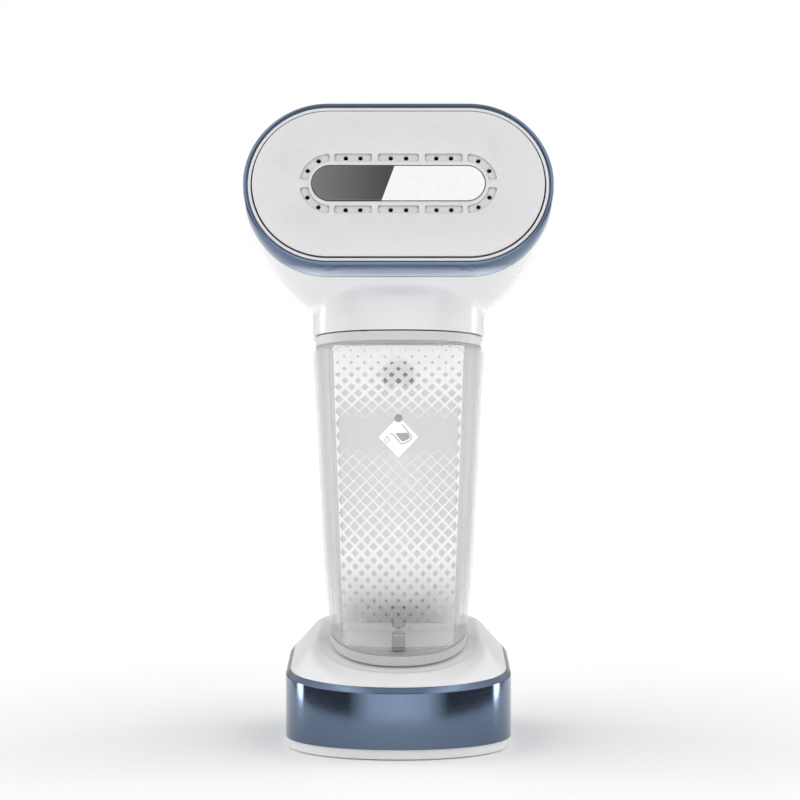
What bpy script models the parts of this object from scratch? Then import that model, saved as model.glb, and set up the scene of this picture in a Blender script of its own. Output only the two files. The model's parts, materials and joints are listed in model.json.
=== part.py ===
"""Handheld garment steamer that stands on its own foot.

A stadium-shaped steam head tilts back on a hollow white body. A clear water tank slides into the
front of the body, a closed grip with a trigger runs down the back, and both stand on a wide foot.

Frame: metres, +Z up, the steam head faces -Y, the origin is on the floor under the body's middle.
"""

import math

import bmesh
import bpy
from mathutils import Matrix, Vector

MM = 0.001

# ---------------------------------------------------------------- driving dimensions
BODY_DEPTH = 150 * MM  # front of the foot to the back of the grip
FRONT_Y = -BODY_DEPTH / 2
BACK_Y = BODY_DEPTH / 2
WALL = 2.2 * MM  # moulded shells
GAP = 0.3 * MM  # between pieces that touch
RUNNING_GAP = 0.4 * MM  # round pieces that slide or turn
WELD_DISTANCE = 0.01 * MM
REARWARD = (0, 1, 0)

# steam head
HEAD_Y, HEAD_Z = FRONT_Y + 15 * MM, 273.7 * MM  # centre of the plate
HEAD_TILT = math.radians(15.3)
HEAD_FLAT = 33.6 * MM  # half the straight run of the stadium
HEAD_RADIUS = 40.5 * MM
RING_WALL = 2.1 * MM
RING_DEPTH = 19 * MM
BEZEL_WALL = 1.6 * MM
BEZEL_DEPTH = 12 * MM
BEZEL_RECESS = 0.3 * MM
PLATE_GROOVE = 0.7 * MM
PLATE_THICKNESS = 3.2 * MM
PLATE_PROUD = 0.6 * MM

# pockets, steam holes and badge of the plate
POCKET_FLAT = 32.2 * MM
POCKET_RADIUS = 12.95 * MM
POCKET_WIDTH = 3.9 * MM
POCKET_DEPTH = 0.9 * MM
HOLE_RADIUS = 1.15 * MM
STRAIGHT_POCKETS = ((-21.6, 18.0, 7.0), (0.0, 19.5, 7.3), (21.6, 18.0, 7.0))  # middle, length, hole pitch
CORNER_POCKET_DEG = (4.0, 81.0)  # from straight up towards the end
CORNER_HOLES_DEG = (27.0, 59.0)
BADGE_FLAT = 32.5 * MM
BADGE_RADIUS = 8.6 * MM
BADGE_RECESS = 1.2 * MM
BADGE_PROUD = 0.4 * MM

# steam chamber behind the plate
CHAMBER_FLAT = 30 * MM
CHAMBER_RADIUS = 27 * MM
CHAMBER_FLANGE = 7 * MM  # flange height beyond the body
CHAMBER_FLANGE_DEPTH = 4 * MM
CHAMBER_DEPTH = 22 * MM
CHAMBER_WALL = 5 * MM
CAVITY_DEPTH = 11 * MM
GASKET_DEPTH = 1.8 * MM
GASKET_WIDTH = 3 * MM
HEATER_RADIUS = 3.2 * MM
HEATER_LEG = 12.5 * MM
PLATE_RADIUS = HEAD_RADIUS - RING_WALL - BEZEL_WALL - PLATE_GROOVE
PLATE_BACK = PLATE_PROUD - PLATE_THICKNESS  # heights out of the ring's front
CHAMBER_FRONT = PLATE_BACK - GAP - GASKET_DEPTH - GAP
CHAMBER_BACK = CHAMBER_FRONT - CHAMBER_DEPTH
FEED_PORT = (-CHAMBER_FLAT - 8 * MM, 0.0)
FUSE_RADIUS, FUSE_LENGTH = 2.0 * MM, 13 * MM
SCREW_RADIUS = 1.4 * MM
SCREW_HEAD_RADIUS = 2.8 * MM
SCREW_HEAD_DEPTH = 1.8 * MM

# grip, which is the lower end of the body's sweep
GRIP_HALF_WIDTH = 18 * MM
GRIP_HALF_DEPTH = 17.5 * MM
GRIP_TOP_Z = 198 * MM
GRIP_LEAN = 10.5 * MM  # how far forward its foot stands
GRIP_FLARE = 5 * MM
GRIP_TOP_Y = BACK_Y - GRIP_HALF_DEPTH
GRIP_SPLIT_GAP = math.radians(0.6)  # half the seam between the grip's halves
HEAD_CHIN = 14.5 * MM  # how much lower the head's belly hangs than its back
HEAD_REACH = 62 * MM  # handles of the sweep's curve
GRIP_REACH = 46 * MM
SHELL_SPLIT = 0.88  # where along the sweep the head shell ends and the grip starts

# neck, tank and spine, which form the front column
COLUMN_FRONT_Y = FRONT_Y + 23 * MM
COLUMN_NOSE = 33 * MM  # depth of the rounded front
COLUMN_POWER = 2.3
NECK_HALF_WIDTH = 41.9 * MM
NECK_TOP_Z = 236 * MM
TANK_TOP_Z = 204 * MM  # at the front
TANK_TOP_SLOPE = 0.127  # rises towards the front
TANK_HALF_TOP = 41.0 * MM
TANK_HALF_BOTTOM = 33.2 * MM
TANK_WALL = 1.8 * MM
TANK_DEPTH = 40 * MM
TANK_BACK_THICKNESS = 3.2 * MM
TANK_FLANGE = 1.7 * MM
TANK_CAP = 4.4 * MM
TANK_SEAT_GAP = 0.6 * MM
SPINE_DEPTH = 14.5 * MM
SPINE_SIDE_INSET = 3.5 * MM
SPINE_CORNER = 5 * MM
SPINE_FRONT_Y = COLUMN_FRONT_Y + TANK_DEPTH + GAP
SPINE_BACK_Y = SPINE_FRONT_Y + SPINE_DEPTH

# filler plug on the back of the tank, and the valve at its foot
PLUG_RADIUS = 8.9 * MM
PLUG_DROP = 5 * MM  # flat bottom below the dome's centre
PLUG_BELOW_TOP = 18 * MM
PLUG_HEAD = 2.0 * MM
PLUG_PULL = 4 * MM
PLUG_REBATE = 1.4 * MM
SPIGOT_RADIUS = 3.4 * MM
SPIGOT_TIP_RADIUS = 1.5 * MM
SEAL_RADIUS, SEAL_BORE, SEAL_DEPTH = 2.9 * MM, 1.8 * MM, 1.4 * MM
INTAKE_ARM_RADIUS = 2.0 * MM
INTAKE_BORE = 1.2 * MM
VALVE_WIDTH = 6.6 * MM
VALVE_HEIGHT = 9.6 * MM
VALVE_LENGTH = 17 * MM
VALVE_ABOVE_DECK = 9.5 * MM
VALVE_BORE = 1.9 * MM
STEM_TRAVEL = 1.5 * MM
INTAKE_Y = COLUMN_FRONT_Y + 7 * MM  # front of the pick-up foot, at the tank's lowest point
INTAKE_DEPTH = 4 * MM
INTAKE_HEIGHT = 9.2 * MM
DOCK_PAD_HALF_WIDTH = 23 * MM
DOCK_PAD_HEIGHT = 19 * MM
DOCK_PAD_THICKNESS = 0.9 * MM
DOCK_PAD_ABOVE_DECK = 1.5 * MM

# foot
FOOT_HALF_WIDTH = 55.3 * MM
FOOT_NOSE = 49 * MM
FOOT_NOSE_POWER = 2.1
FOOT_TAIL = 50 * MM
FOOT_TAIL_POWER = 2.2
FOOT_BACK_Y = BACK_Y - 3 * MM
PLATE_BOTTOM_Z = 1.0 * MM
BAND_BOTTOM_Z = 5.2 * MM
BAND_FRONT_Z = 32 * MM
BAND_RISE = 0.079  # top edge climbs towards the back
BAND_CHAMFER = 2.7 * MM
BAND_CHAMFER_INSET = 2.2 * MM
BAND_WALL = 1.6 * MM
DECK_SLOPE = 0.33
DECK_TOP_Z = 57 * MM
DOCK_PAD_BOTTOM_Z = DECK_TOP_Z + DOCK_PAD_ABOVE_DECK
DECK_FLANK = 1.0
DECK_BLEND = 3.0 * MM
BASE_PLATE_INSET = 1.2 * MM
BASE_PLATE_THICKNESS = 4.0 * MM
BASE_FLOOR_Z = PLATE_BOTTOM_Z + BASE_PLATE_THICKNESS
BOSS_FOOT_Z = BASE_FLOOR_Z + GAP
BASE_SCREW_RECESS = 2.4 * MM
BASE_SCREW_LENGTH = 11 * MM
PAD_RADIUS = 6 * MM
PAD_HEIGHT = 2.2 * MM
PAD_X, PAD_FRONT_Y, PAD_REAR_Y = 34 * MM, -38 * MM, 42 * MM
BOSS_RADIUS = 3.6 * MM
BOSS_X, BOSS_FRONT_Y, BOSS_REAR_Y = 29 * MM, -26 * MM, 34 * MM

# trigger
TRIGGER_WIDTH = 18 * MM
TRIGGER_LENGTH = 44 * MM
TRIGGER_REACH = 6 * MM  # how far it stands out of the grip
PIN_RADIUS = 1.5 * MM
TRIGGER_TOP_Z = GRIP_TOP_Z + 9 * MM
PIVOT_DROP = 5 * MM
PIN_BEHIND_EAR = 2.8 * MM
EAR_CLEARANCE = 0.93 * MM  # between the bracket's ears and the front shell
BRACKET_SHEET = 1.2 * MM
BRACKET_HALF = TRIGGER_WIDTH / 2 + 1.0 * MM
SPRING_RADIUS, SPRING_WIRE, SPRING_TURNS = 3 * MM, 0.45 * MM, 4
TRIGGER_SWITCH = (6 * MM, 6.4 * MM, 15 * MM)

# controls, cord outlet and inner parts
BUTTON_RADIUS = 7 * MM
BUTTON_AT = 0.56  # along the body's sweep
BUTTON_PROUD = 1.2 * MM
SWITCH_SIZE = 8 * MM
BUTTON_TRAVEL = 1.5 * MM
LENS_AT = 0.43
LENS_RADIUS = 2.0 * MM
SLIDER_Z = 160 * MM
SLIDER_HALF = (4.5 * MM, 7 * MM)
SLIDER_TRAVEL = 5 * MM
SLIDER_SHANK = 2.2 * MM
SLIDER_PAD = 1.5 * MM
SLIDER_KEEPER = 1.4 * MM
GLAND_Z = 20 * MM
GLAND_RADIUS = 6.5 * MM
CORD_BORE = 3.8 * MM
GLAND_COLLAR = 1.8 * MM
HOSE_RADIUS = 2.4 * MM
HOSE_BORE = HOSE_RADIUS - 0.6 * MM
PUMP_RADIUS = 11 * MM
PUMP_LENGTH = 34 * MM
PUMP_END_WALL = 4 * MM
PUMP_BARREL_RADIUS = 3.6 * MM
PLUNGER_RADIUS = PUMP_BARREL_RADIUS - RUNNING_GAP
NOZZLE_RADIUS, NOZZLE_BORE = 2.0 * MM, 1.1 * MM
BOARD_SIZE = (44 * MM, 30 * MM, 1.6 * MM)
BOARD_Y = 30 * MM
BOARD_STANDOFF = 4 * MM
RELAY_SIZE = (16 * MM, 12 * MM, 12 * MM)
PUMP_Y, PUMP_Z = FRONT_Y + 47 * MM, 21 * MM

# points and sections of round shapes
RING_POINTS = 40
GRIP_STEPS = 10
COLUMN_POINTS = 24
FOOT_POINTS = 50
SWEEP_RINGS = 12


# ---------------------------------------------------------------- scene and materials
def clear_scene():
    for obj in list(bpy.data.objects):
        bpy.data.objects.remove(obj)


def collection(name, shown=True):
    made = bpy.data.collections.new(name)
    bpy.context.scene.collection.children.link(made)
    made.hide_render = not shown
    return made


clear_scene()
PARTS = collection("garment_steamer")
CUTTERS = collection("cutters", shown=False)


def material(name, colour, roughness, metallic=0.0, alpha=1.0):
    made = bpy.data.materials.new(name)
    made.use_nodes = True
    shader = made.node_tree.nodes["Principled BSDF"]
    shader.inputs["Base Color"].default_value = (*colour, 1.0)
    shader.inputs["Roughness"].default_value = roughness
    shader.inputs["Metallic"].default_value = metallic
    shader.inputs["Alpha"].default_value = alpha
    return made


MATERIALS = {
    "white_plastic": material("white_plastic", (0.88, 0.88, 0.88), 0.3),
    "blue_trim": material("blue_trim", (0.16, 0.23, 0.36), 0.3, 0.6),
    "plate_coating": material("plate_coating", (0.68, 0.68, 0.70), 0.45, 0.3),
    "badge_chrome": material("badge_chrome", (0.75, 0.75, 0.77), 0.08, 1.0),
    "clear_tank": material("clear_tank", (0.9, 0.92, 0.93), 0.1, 0.0, 0.35),
    "frosted_tank": material("frosted_tank", (0.80, 0.81, 0.82), 0.4, 0.0, 0.6),
    "grey_rubber": material("grey_rubber", (0.32, 0.32, 0.33), 0.7),
    "grey_plastic": material("grey_plastic", (0.42, 0.43, 0.45), 0.45),
    "aluminium": material("aluminium", (0.72, 0.72, 0.73), 0.4, 1.0),
    "steel": material("steel", (0.6, 0.6, 0.62), 0.3, 1.0),
    "board_green": material("board_green", (0.05, 0.22, 0.12), 0.5),
    "black_plastic": material("black_plastic", (0.04, 0.04, 0.045), 0.4),
    "lamp_lens": material("lamp_lens", (0.55, 0.75, 0.9), 0.15),
}


# ---------------------------------------------------------------- mesh helpers
def add_object(name, mesh, slot=None, parent=None):
    """Links a mesh as a part of the steamer, or as a cutter where it has no material."""
    obj = bpy.data.objects.new(name, mesh)
    if slot is None:
        CUTTERS.objects.link(obj)
        obj.hide_render = True
        obj.display_type = "WIRE"
    else:
        PARTS.objects.link(obj)
        mesh.materials.clear()
        mesh.materials.append(MATERIALS[slot])
    obj.parent = parent
    return obj


def mesh_from(bm, name):
    bmesh.ops.recalc_face_normals(bm, faces=bm.faces)
    mesh = bpy.data.meshes.new(name)
    bm.to_mesh(mesh)
    bm.free()
    return mesh


def loft_bm(rings, closed=True, capped=True):
    """Quads between rings of points. A closed ring joins its end to its start."""
    bm = bmesh.new()
    rows = [[bm.verts.new(point) for point in ring] for ring in rings]
    count = len(rows[0])
    last = count if closed else count - 1
    for lower, upper in zip(rows, rows[1:]):
        for i in range(last):
            j = (i + 1) % count
            bm.faces.new((lower[i], lower[j], upper[j], upper[i]))
    if capped:
        bm.faces.new(list(reversed(rows[0])))
        bm.faces.new(rows[-1])
    return bm


def loft(name, rings, slot=None, parent=None, closed=True, capped=True):
    return add_object(name, mesh_from(loft_bm(rings, closed, capped), name), slot, parent)


def modify(obj, kind, **settings):
    modifier = obj.modifiers.new(kind.title(), kind)
    for key, value in settings.items():
        setattr(modifier, key, value)
    return modifier


def boolean(obj, other, operation="DIFFERENCE"):
    modify(obj, "BOOLEAN", object=other, operation=operation, solver="EXACT")


def bevel(obj, width, segments=2, degrees=40):
    modify(obj, "BEVEL", width=width, segments=segments, limit_method="ANGLE",
           angle_limit=math.radians(degrees), use_clamp_overlap=True)


def solidify(obj, thickness):
    """Grows the wall inwards, away from the side that the faces look to."""
    modify(obj, "SOLIDIFY", thickness=thickness, offset=-1.0, use_even_offset=True)


def smooth(obj, degrees=35):
    obj.data.shade_smooth()
    obj.data.set_sharp_from_angle(angle=math.radians(degrees))


def placed(bm, location, rotation):
    bmesh.ops.transform(bm, matrix=Matrix.Translation(location) @ rotation.to_4x4(), verts=bm.verts)
    return bm


def along(direction):
    """Rotation that carries +Z to a direction."""
    return Vector(direction).normalized().to_track_quat("Z", "Y").to_matrix()


def cylinder_bm(radius, depth, start, direction=(0, 0, 1), segments=20, radius_end=None):
    """A cylinder or cone that begins at a point and runs along a direction."""
    bm = bmesh.new()
    bmesh.ops.create_cone(bm, cap_ends=True, segments=segments, radius1=radius,
                          radius2=radius if radius_end is None else radius_end, depth=depth)
    bmesh.ops.translate(bm, verts=bm.verts, vec=(0, 0, depth / 2))
    return placed(bm, start, along(direction))


def cylinder(name, radius, depth, start, direction=(0, 0, 1), slot=None, segments=20, parent=None,
             radius_end=None):
    bm = cylinder_bm(radius, depth, start, direction, segments, radius_end)
    return add_object(name, mesh_from(bm, name), slot, parent)


def box_bm(size, centre, rotation=Matrix.Identity(3)):
    bm = bmesh.new()
    bmesh.ops.create_cube(bm, size=1.0)
    bmesh.ops.scale(bm, vec=size, verts=bm.verts)
    return placed(bm, centre, rotation)


def box(name, size, centre, slot=None, parent=None, rotation=Matrix.Identity(3), round_edges=0.0):
    obj = add_object(name, mesh_from(box_bm(size, centre, rotation), name), slot, parent)
    if round_edges:
        bevel(obj, round_edges, 1)
    return obj


def ring_disc(name, outer, bore, depth, start, direction, slot, segments=20):
    """A flat ring, such as a seal or a bush."""
    obj = cylinder(name, outer, depth, start, direction, slot, segments)
    way = Vector(direction).normalized()
    tool = cylinder(name + "_bore", bore, depth * 3, Vector(start) - way * depth, direction,
                    segments=segments)
    boolean(obj, tool)
    return obj


def tube(name, points, radius, slot, sides=2, samples=5):
    """A hose or wire along a smooth curve through hand-chosen points."""
    curve = bpy.data.curves.new(name, "CURVE")
    curve.dimensions = "3D"
    curve.bevel_depth = radius
    curve.bevel_resolution = sides
    curve.use_fill_caps = True
    route = smooth_route([Vector(p) for p in points], samples)
    spline = curve.splines.new("POLY")
    spline.points.add(len(route) - 1)
    for point, place in zip(spline.points, route):
        point.co = (*place, 1.0)
    obj = bpy.data.objects.new(name, curve)
    PARTS.objects.link(obj)
    curve.materials.append(MATERIALS[slot])
    return obj


def smooth_route(points, samples):
    """Catmull-Rom curve through the points."""
    route = []
    padded = [points[0] * 2 - points[1], *points, points[-1] * 2 - points[-2]]
    for before, start, end, after in zip(padded, padded[1:], padded[2:], padded[3:]):
        for k in range(samples):
            t = k / samples
            route.append(0.5 * (2 * start + (end - before) * t
                                + (2 * before - 5 * start + 4 * end - after) * t ** 2
                                + (3 * start - before - 3 * end + after) * t ** 3))
    return [*route, points[-1]]


# ---------------------------------------------------------------- outlines
def power_arc(half_width, depth, power, steps, start=0.0, end=math.pi):
    """Superellipse arc as (x, y), from +half_width over depth to -half_width."""
    points = []
    for k in range(steps + 1):
        angle = start + (end - start) * k / steps
        c, s = math.cos(angle), math.sin(angle)
        points.append((half_width * math.copysign(abs(c) ** (2 / power), c),
                       depth * abs(s) ** (2 / power)))
    return points


def stadium(flat, radius, count=RING_POINTS):
    """Stadium outline as (x, y): two half circles joined by straight runs."""
    half = count // 2
    right = [(flat + radius * math.cos(a), radius * math.sin(a))
             for a in (math.pi * (k / half - 0.5) for k in range(half + 1))]
    return right + [(-x, -y) for x, y in right]


def column_outline(half_width, front_y, back_y, corner=SPINE_CORNER):
    """Rounded nose in front, straight sides and a flat back with round corners, as (x, y)."""
    nose_y = front_y + COLUMN_NOSE
    front = [(x, nose_y - d) for x, d in power_arc(half_width, COLUMN_NOSE, COLUMN_POWER,
                                                   COLUMN_POINTS)]
    corner = min(corner, (back_y - nose_y) / 2)
    left = [(-half_width + corner * (1 - math.cos(a)), back_y - corner * (1 - math.sin(a)))
            for a in (0, math.pi / 4, math.pi / 2)]
    return front + left + [(-x, y) for x, y in reversed(left)]


def rounded_rectangle(half_width, low_y, high_y, corner, steps=3):
    corners = ((half_width, high_y, 0), (-half_width, high_y, 1), (-half_width, low_y, 2),
               (half_width, low_y, 3))
    points = []
    for x, y, turn in corners:
        cx = x - math.copysign(corner, x)
        cy = y - corner if y == high_y else y + corner
        for k in range(steps + 1):
            angle = math.pi / 2 * (turn + k / steps)
            points.append((cx + corner * math.cos(angle), cy + corner * math.sin(angle)))
    return points


def foot_outline(inset=0.0):
    """Egg-shaped plan of the foot as (x, y), counter-clockwise."""
    half = FOOT_HALF_WIDTH - inset
    nose_y = FRONT_Y + FOOT_NOSE
    tail_y = FOOT_BACK_Y - FOOT_TAIL
    steps = FOOT_POINTS // 2 - 1
    front = [(-x, nose_y - d) for x, d in power_arc(half, FOOT_NOSE - inset, FOOT_NOSE_POWER, steps)]
    back = [(x, tail_y + d) for x, d in power_arc(half, FOOT_TAIL - inset, FOOT_TAIL_POWER, steps)]
    return front + back


def tank_half_width(z):
    low = deck_plane_z(COLUMN_FRONT_Y)
    return TANK_HALF_BOTTOM + (TANK_HALF_TOP - TANK_HALF_BOTTOM) * (z - low) / (TANK_TOP_Z - low)


# ---------------------------------------------------------------- planes and heights
def neck_plane_z(y):
    """Underside of the neck, which the top of the tank meets."""
    return TANK_TOP_Z - TANK_TOP_SLOPE * (y - COLUMN_FRONT_Y)


def deck_edge_z(y):
    return BAND_FRONT_Z + BAND_CHAMFER + BAND_RISE * (y - FRONT_Y)


def deck_plane_z(y):
    """Sloping front of the foot's deck, which the tank stands over."""
    front = FRONT_Y + BAND_CHAMFER_INSET
    return deck_edge_z(front) + DECK_SLOPE * (y - front)


def tank_floor_z(y):
    return deck_plane_z(y) + TANK_SEAT_GAP


def soft_min(first, second, blend):
    """The lower of two heights, rounded where they cross."""
    mix = max(0.0, min(1.0, 0.5 + (second - first) / (2 * blend)))
    return second + (first - second) * mix - blend * mix * (1 - mix)


def deck_z(y, inward):
    """Height of the deck at y, at a distance inward from its edge."""
    flank = deck_edge_z(y) + DECK_FLANK * inward
    ridge = soft_min(max(deck_plane_z(y), deck_edge_z(y)), DECK_TOP_Z, DECK_BLEND)
    return max(soft_min(flank, ridge, DECK_BLEND), deck_edge_z(y)) if inward > 0 else deck_edge_z(y)


# ---------------------------------------------------------------- the body's sweep, head to grip
def head_point(x, up, out):
    """A point given across, up along and out of the steam plate."""
    s, c = math.sin(HEAD_TILT), math.cos(HEAD_TILT)
    return Vector((x, HEAD_Y + up * s - out * c, HEAD_Z + up * c + out * s))


HEAD_OUT = Vector((0, -math.cos(HEAD_TILT), math.sin(HEAD_TILT)))


def grip_y(z):
    """Middle of the grip."""
    return GRIP_TOP_Y - GRIP_LEAN * (GRIP_TOP_Z - z) / (GRIP_TOP_Z - DECK_TOP_Z)


def smoothstep(t):
    t = max(0.0, min(1.0, t))
    return t * t * (3 - 2 * t)


def sweep_point(t):
    """Centre and direction of the sweep, which bends from the head down into the grip."""
    start = head_point(0, 0, -RING_DEPTH - GAP)
    end = Vector((0, GRIP_TOP_Y, GRIP_TOP_Z))
    near_start = start - HEAD_OUT * HEAD_REACH
    near_end = end + Vector((0, 0, GRIP_REACH))
    u = 1 - t
    place = start * u ** 3 + near_start * 3 * u * u * t + near_end * 3 * u * t * t + end * t ** 3
    way = ((near_start - start) * u * u + (near_end - near_start) * 2 * u * t + (end - near_end) * t * t)
    return place, way.normalized()


def sweep_sizes(t):
    """Straight half, side radius, back height and belly height of the section at t."""
    mix = smoothstep(t)
    radius = HEAD_RADIUS - 0.2 * MM
    side = radius + (GRIP_HALF_WIDTH - radius) * mix
    height = radius + (GRIP_HALF_DEPTH - radius) * mix
    belly = HEAD_CHIN * math.sin(math.pi * t ** 0.75)
    return HEAD_FLAT * (1 - mix), side, height, height + belly


def sweep_ring(t, inset=0.0, count=RING_POINTS):
    """Section of the body at t, made smaller by inset."""
    place, way = sweep_point(t)
    up = Vector((0, -way.z, way.y))
    flat, side, top, belly = sweep_sizes(t)
    ring = []
    for x, v in stadium(1.0, 1.0, count):
        across = math.copysign(flat + (abs(x) - 1.0) * (side - inset), x)
        height = v * ((top if v > 0 else belly) - inset)
        ring.append(place + Vector((across, 0, 0)) + up * height)
    return ring


# ---------------------------------------------------------------- steam head
def head_loft(name, profile, slot, parent, flat=HEAD_FLAT, count=RING_POINTS):
    """Closed band round the stadium: profile is a loop of (radius, out)."""
    rings = [[(x, y, out) for x, y in stadium(flat, radius, count)] for radius, out in profile]
    obj = loft(name, [*rings, rings[0]], slot, parent, capped=False)
    modify(obj, "WELD", merge_threshold=WELD_DISTANCE)
    return obj


def stadium_block(name, flat, radius, low, high, slot=None, parent=None, count=RING_POINTS):
    rings = [[(x, y, out) for x, y in stadium(flat, radius, count)] for out in (low, high)]
    return loft(name, rings, slot, parent)


def pocket_outline(middle, length, side):
    """Straight pocket with round corners, in the plate's plane."""
    centre = side * POCKET_RADIUS
    low, high = centre - POCKET_WIDTH / 2, centre + POCKET_WIDTH / 2
    return [(middle + x, y) for x, y in rounded_rectangle(length / 2, low, high, 0.9 * MM, 2)]


def corner_pocket_outline(side_x, side_y):
    """Curved pocket round one quarter of a stadium end."""
    start, end = (math.radians(90 - d) for d in CORNER_POCKET_DEG)
    points = []
    for radius, first, last in ((POCKET_RADIUS + POCKET_WIDTH / 2, start, end),
                                (POCKET_RADIUS - POCKET_WIDTH / 2, end, start)):
        for k in range(7):
            a = first + (last - first) * k / 6
            points.append((side_x * (POCKET_FLAT + radius * math.cos(a)),
                           side_y * radius * math.sin(a)))
    return points if side_x * side_y < 0 else list(reversed(points))


def steam_hole_places():
    places = []
    for side in (-1, 1):
        for middle, _, pitch in STRAIGHT_POCKETS:
            for half in (-0.5, 0.5):
                places.append(((middle + half * pitch) * MM, side * POCKET_RADIUS))
        for side_x in (-1, 1):
            for degrees in CORNER_HOLES_DEG:
                a = math.radians(90 - degrees)
                places.append((side_x * (POCKET_FLAT + POCKET_RADIUS * math.cos(a)),
                               side * POCKET_RADIUS * math.sin(a)))
    return places


def merged_cutter(name, meshes, parent):
    """Several cutter shapes that don't touch, as one object."""
    bm = bmesh.new()
    for mesh in meshes:
        bm.from_mesh(mesh)
        bpy.data.meshes.remove(mesh)
    return add_object(name, mesh_from(bm, name), None, parent)


def plate_screw_places():
    y = CHAMBER_RADIUS + CHAMBER_FLANGE / 2
    return [(sx * (CHAMBER_FLAT - 4 * MM), sy * y) for sx in (-1, 1) for sy in (-1, 1)]


def build_steam_plate(parent):
    plate = stadium_block("steam_plate", HEAD_FLAT, PLATE_RADIUS, PLATE_BACK, PLATE_PROUD,
                          "plate_coating", parent)
    bevel(plate, 0.5 * MM, 1)
    floor = PLATE_PROUD - POCKET_DEPTH
    outlines = [pocket_outline(middle * MM, length * MM, side)
                for side in (-1, 1) for middle, length, _ in STRAIGHT_POCKETS]
    outlines += [corner_pocket_outline(sx, sy) for sx in (-1, 1) for sy in (-1, 1)]
    pockets = []
    for outline in outlines:
        rings = [[(x, y, out) for x, y in outline] for out in (floor, PLATE_PROUD + 2 * MM)]
        pockets.append(mesh_from(loft_bm(rings), "pocket"))
    boolean(plate, merged_cutter("pocket_cutters", pockets, parent))
    bores = [mesh_from(cylinder_bm(HOLE_RADIUS, PLATE_THICKNESS * 2, (x, y, PLATE_BACK - 1 * MM),
                                   segments=10), "bore")
             for x, y in steam_hole_places()]
    bores += [mesh_from(cylinder_bm(SCREW_RADIUS + GAP, 1.8 * MM + 1 * MM, (x, y, PLATE_BACK - 1 * MM),
                                    segments=8), "bore")
              for x, y in plate_screw_places()]
    boolean(plate, merged_cutter("bore_cutters", bores, parent))
    seat = stadium_block("badge_seat", BADGE_FLAT, BADGE_RADIUS + GAP, PLATE_PROUD - BADGE_RECESS,
                         PLATE_PROUD + 2 * MM, None, parent, 32)
    boolean(plate, seat)
    smooth(plate)


def build_head_front(parent):
    build_steam_plate(parent)
    badge = stadium_block("plate_badge", BADGE_FLAT, BADGE_RADIUS, PLATE_PROUD - BADGE_RECESS + GAP,
                          PLATE_PROUD + BADGE_PROUD, "badge_chrome", parent, 32)
    bevel(badge, 0.3 * MM, 1)
    outer = HEAD_RADIUS - RING_WALL - GAP / 2
    inner = outer - BEZEL_WALL + GAP / 2
    head_loft("plate_bezel", [(outer, -BEZEL_RECESS), (inner, -BEZEL_RECESS), (inner, -BEZEL_DEPTH),
                              (outer, -BEZEL_DEPTH)], "white_plastic", parent)
    lip = HEAD_RADIUS - RING_WALL
    edge = 0.5 * MM
    head_loft("head_trim_ring", [(HEAD_RADIUS, -edge), (HEAD_RADIUS - edge, 0), (lip, 0),
                                 (lip, -RING_DEPTH),
                                 (HEAD_RADIUS, -RING_DEPTH)], "blue_trim", parent)
    seal = PLATE_BACK - GAP
    middle = CHAMBER_RADIUS - CHAMBER_WALL / 2
    head_loft("plate_gasket", [(middle + GASKET_WIDTH / 2, seal), (middle - GASKET_WIDTH / 2, seal),
                               (middle - GASKET_WIDTH / 2, seal - GASKET_DEPTH),
                               (middle + GASKET_WIDTH / 2, seal - GASKET_DEPTH)],
              "grey_rubber", parent, CHAMBER_FLAT, 32)


def build_steam_chamber(parent):
    chamber = stadium_block("steam_chamber", CHAMBER_FLAT, CHAMBER_RADIUS, CHAMBER_BACK, CHAMBER_FRONT,
                            "aluminium", parent, 32)
    flange = stadium_block("chamber_flange", CHAMBER_FLAT, CHAMBER_RADIUS + CHAMBER_FLANGE,
                           CHAMBER_FRONT - CHAMBER_FLANGE_DEPTH, CHAMBER_FRONT - 0.4 * MM, None, parent, 32)
    boolean(chamber, flange, "UNION")
    cavity = stadium_block("chamber_cavity", CHAMBER_FLAT, CHAMBER_RADIUS - CHAMBER_WALL,
                           CHAMBER_FRONT - CAVITY_DEPTH, CHAMBER_FRONT + 2 * MM, None, parent, 32)
    boolean(chamber, cavity)
    bores = [mesh_from(cylinder_bm(SCREW_RADIUS + GAP, CHAMBER_FLANGE_DEPTH + 4 * MM,
                                   (x, y,
                                    CHAMBER_FRONT - CHAMBER_FLANGE_DEPTH - 2 * MM), segments=8), "bore")
             for x, y in plate_screw_places()]
    bores.append(mesh_from(cylinder_bm(HOSE_BORE, CHAMBER_DEPTH, (*FEED_PORT, CHAMBER_BACK - 2 * MM),
                                       segments=10), "bore"))
    boolean(chamber, merged_cutter("chamber_bores", bores, parent))


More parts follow.
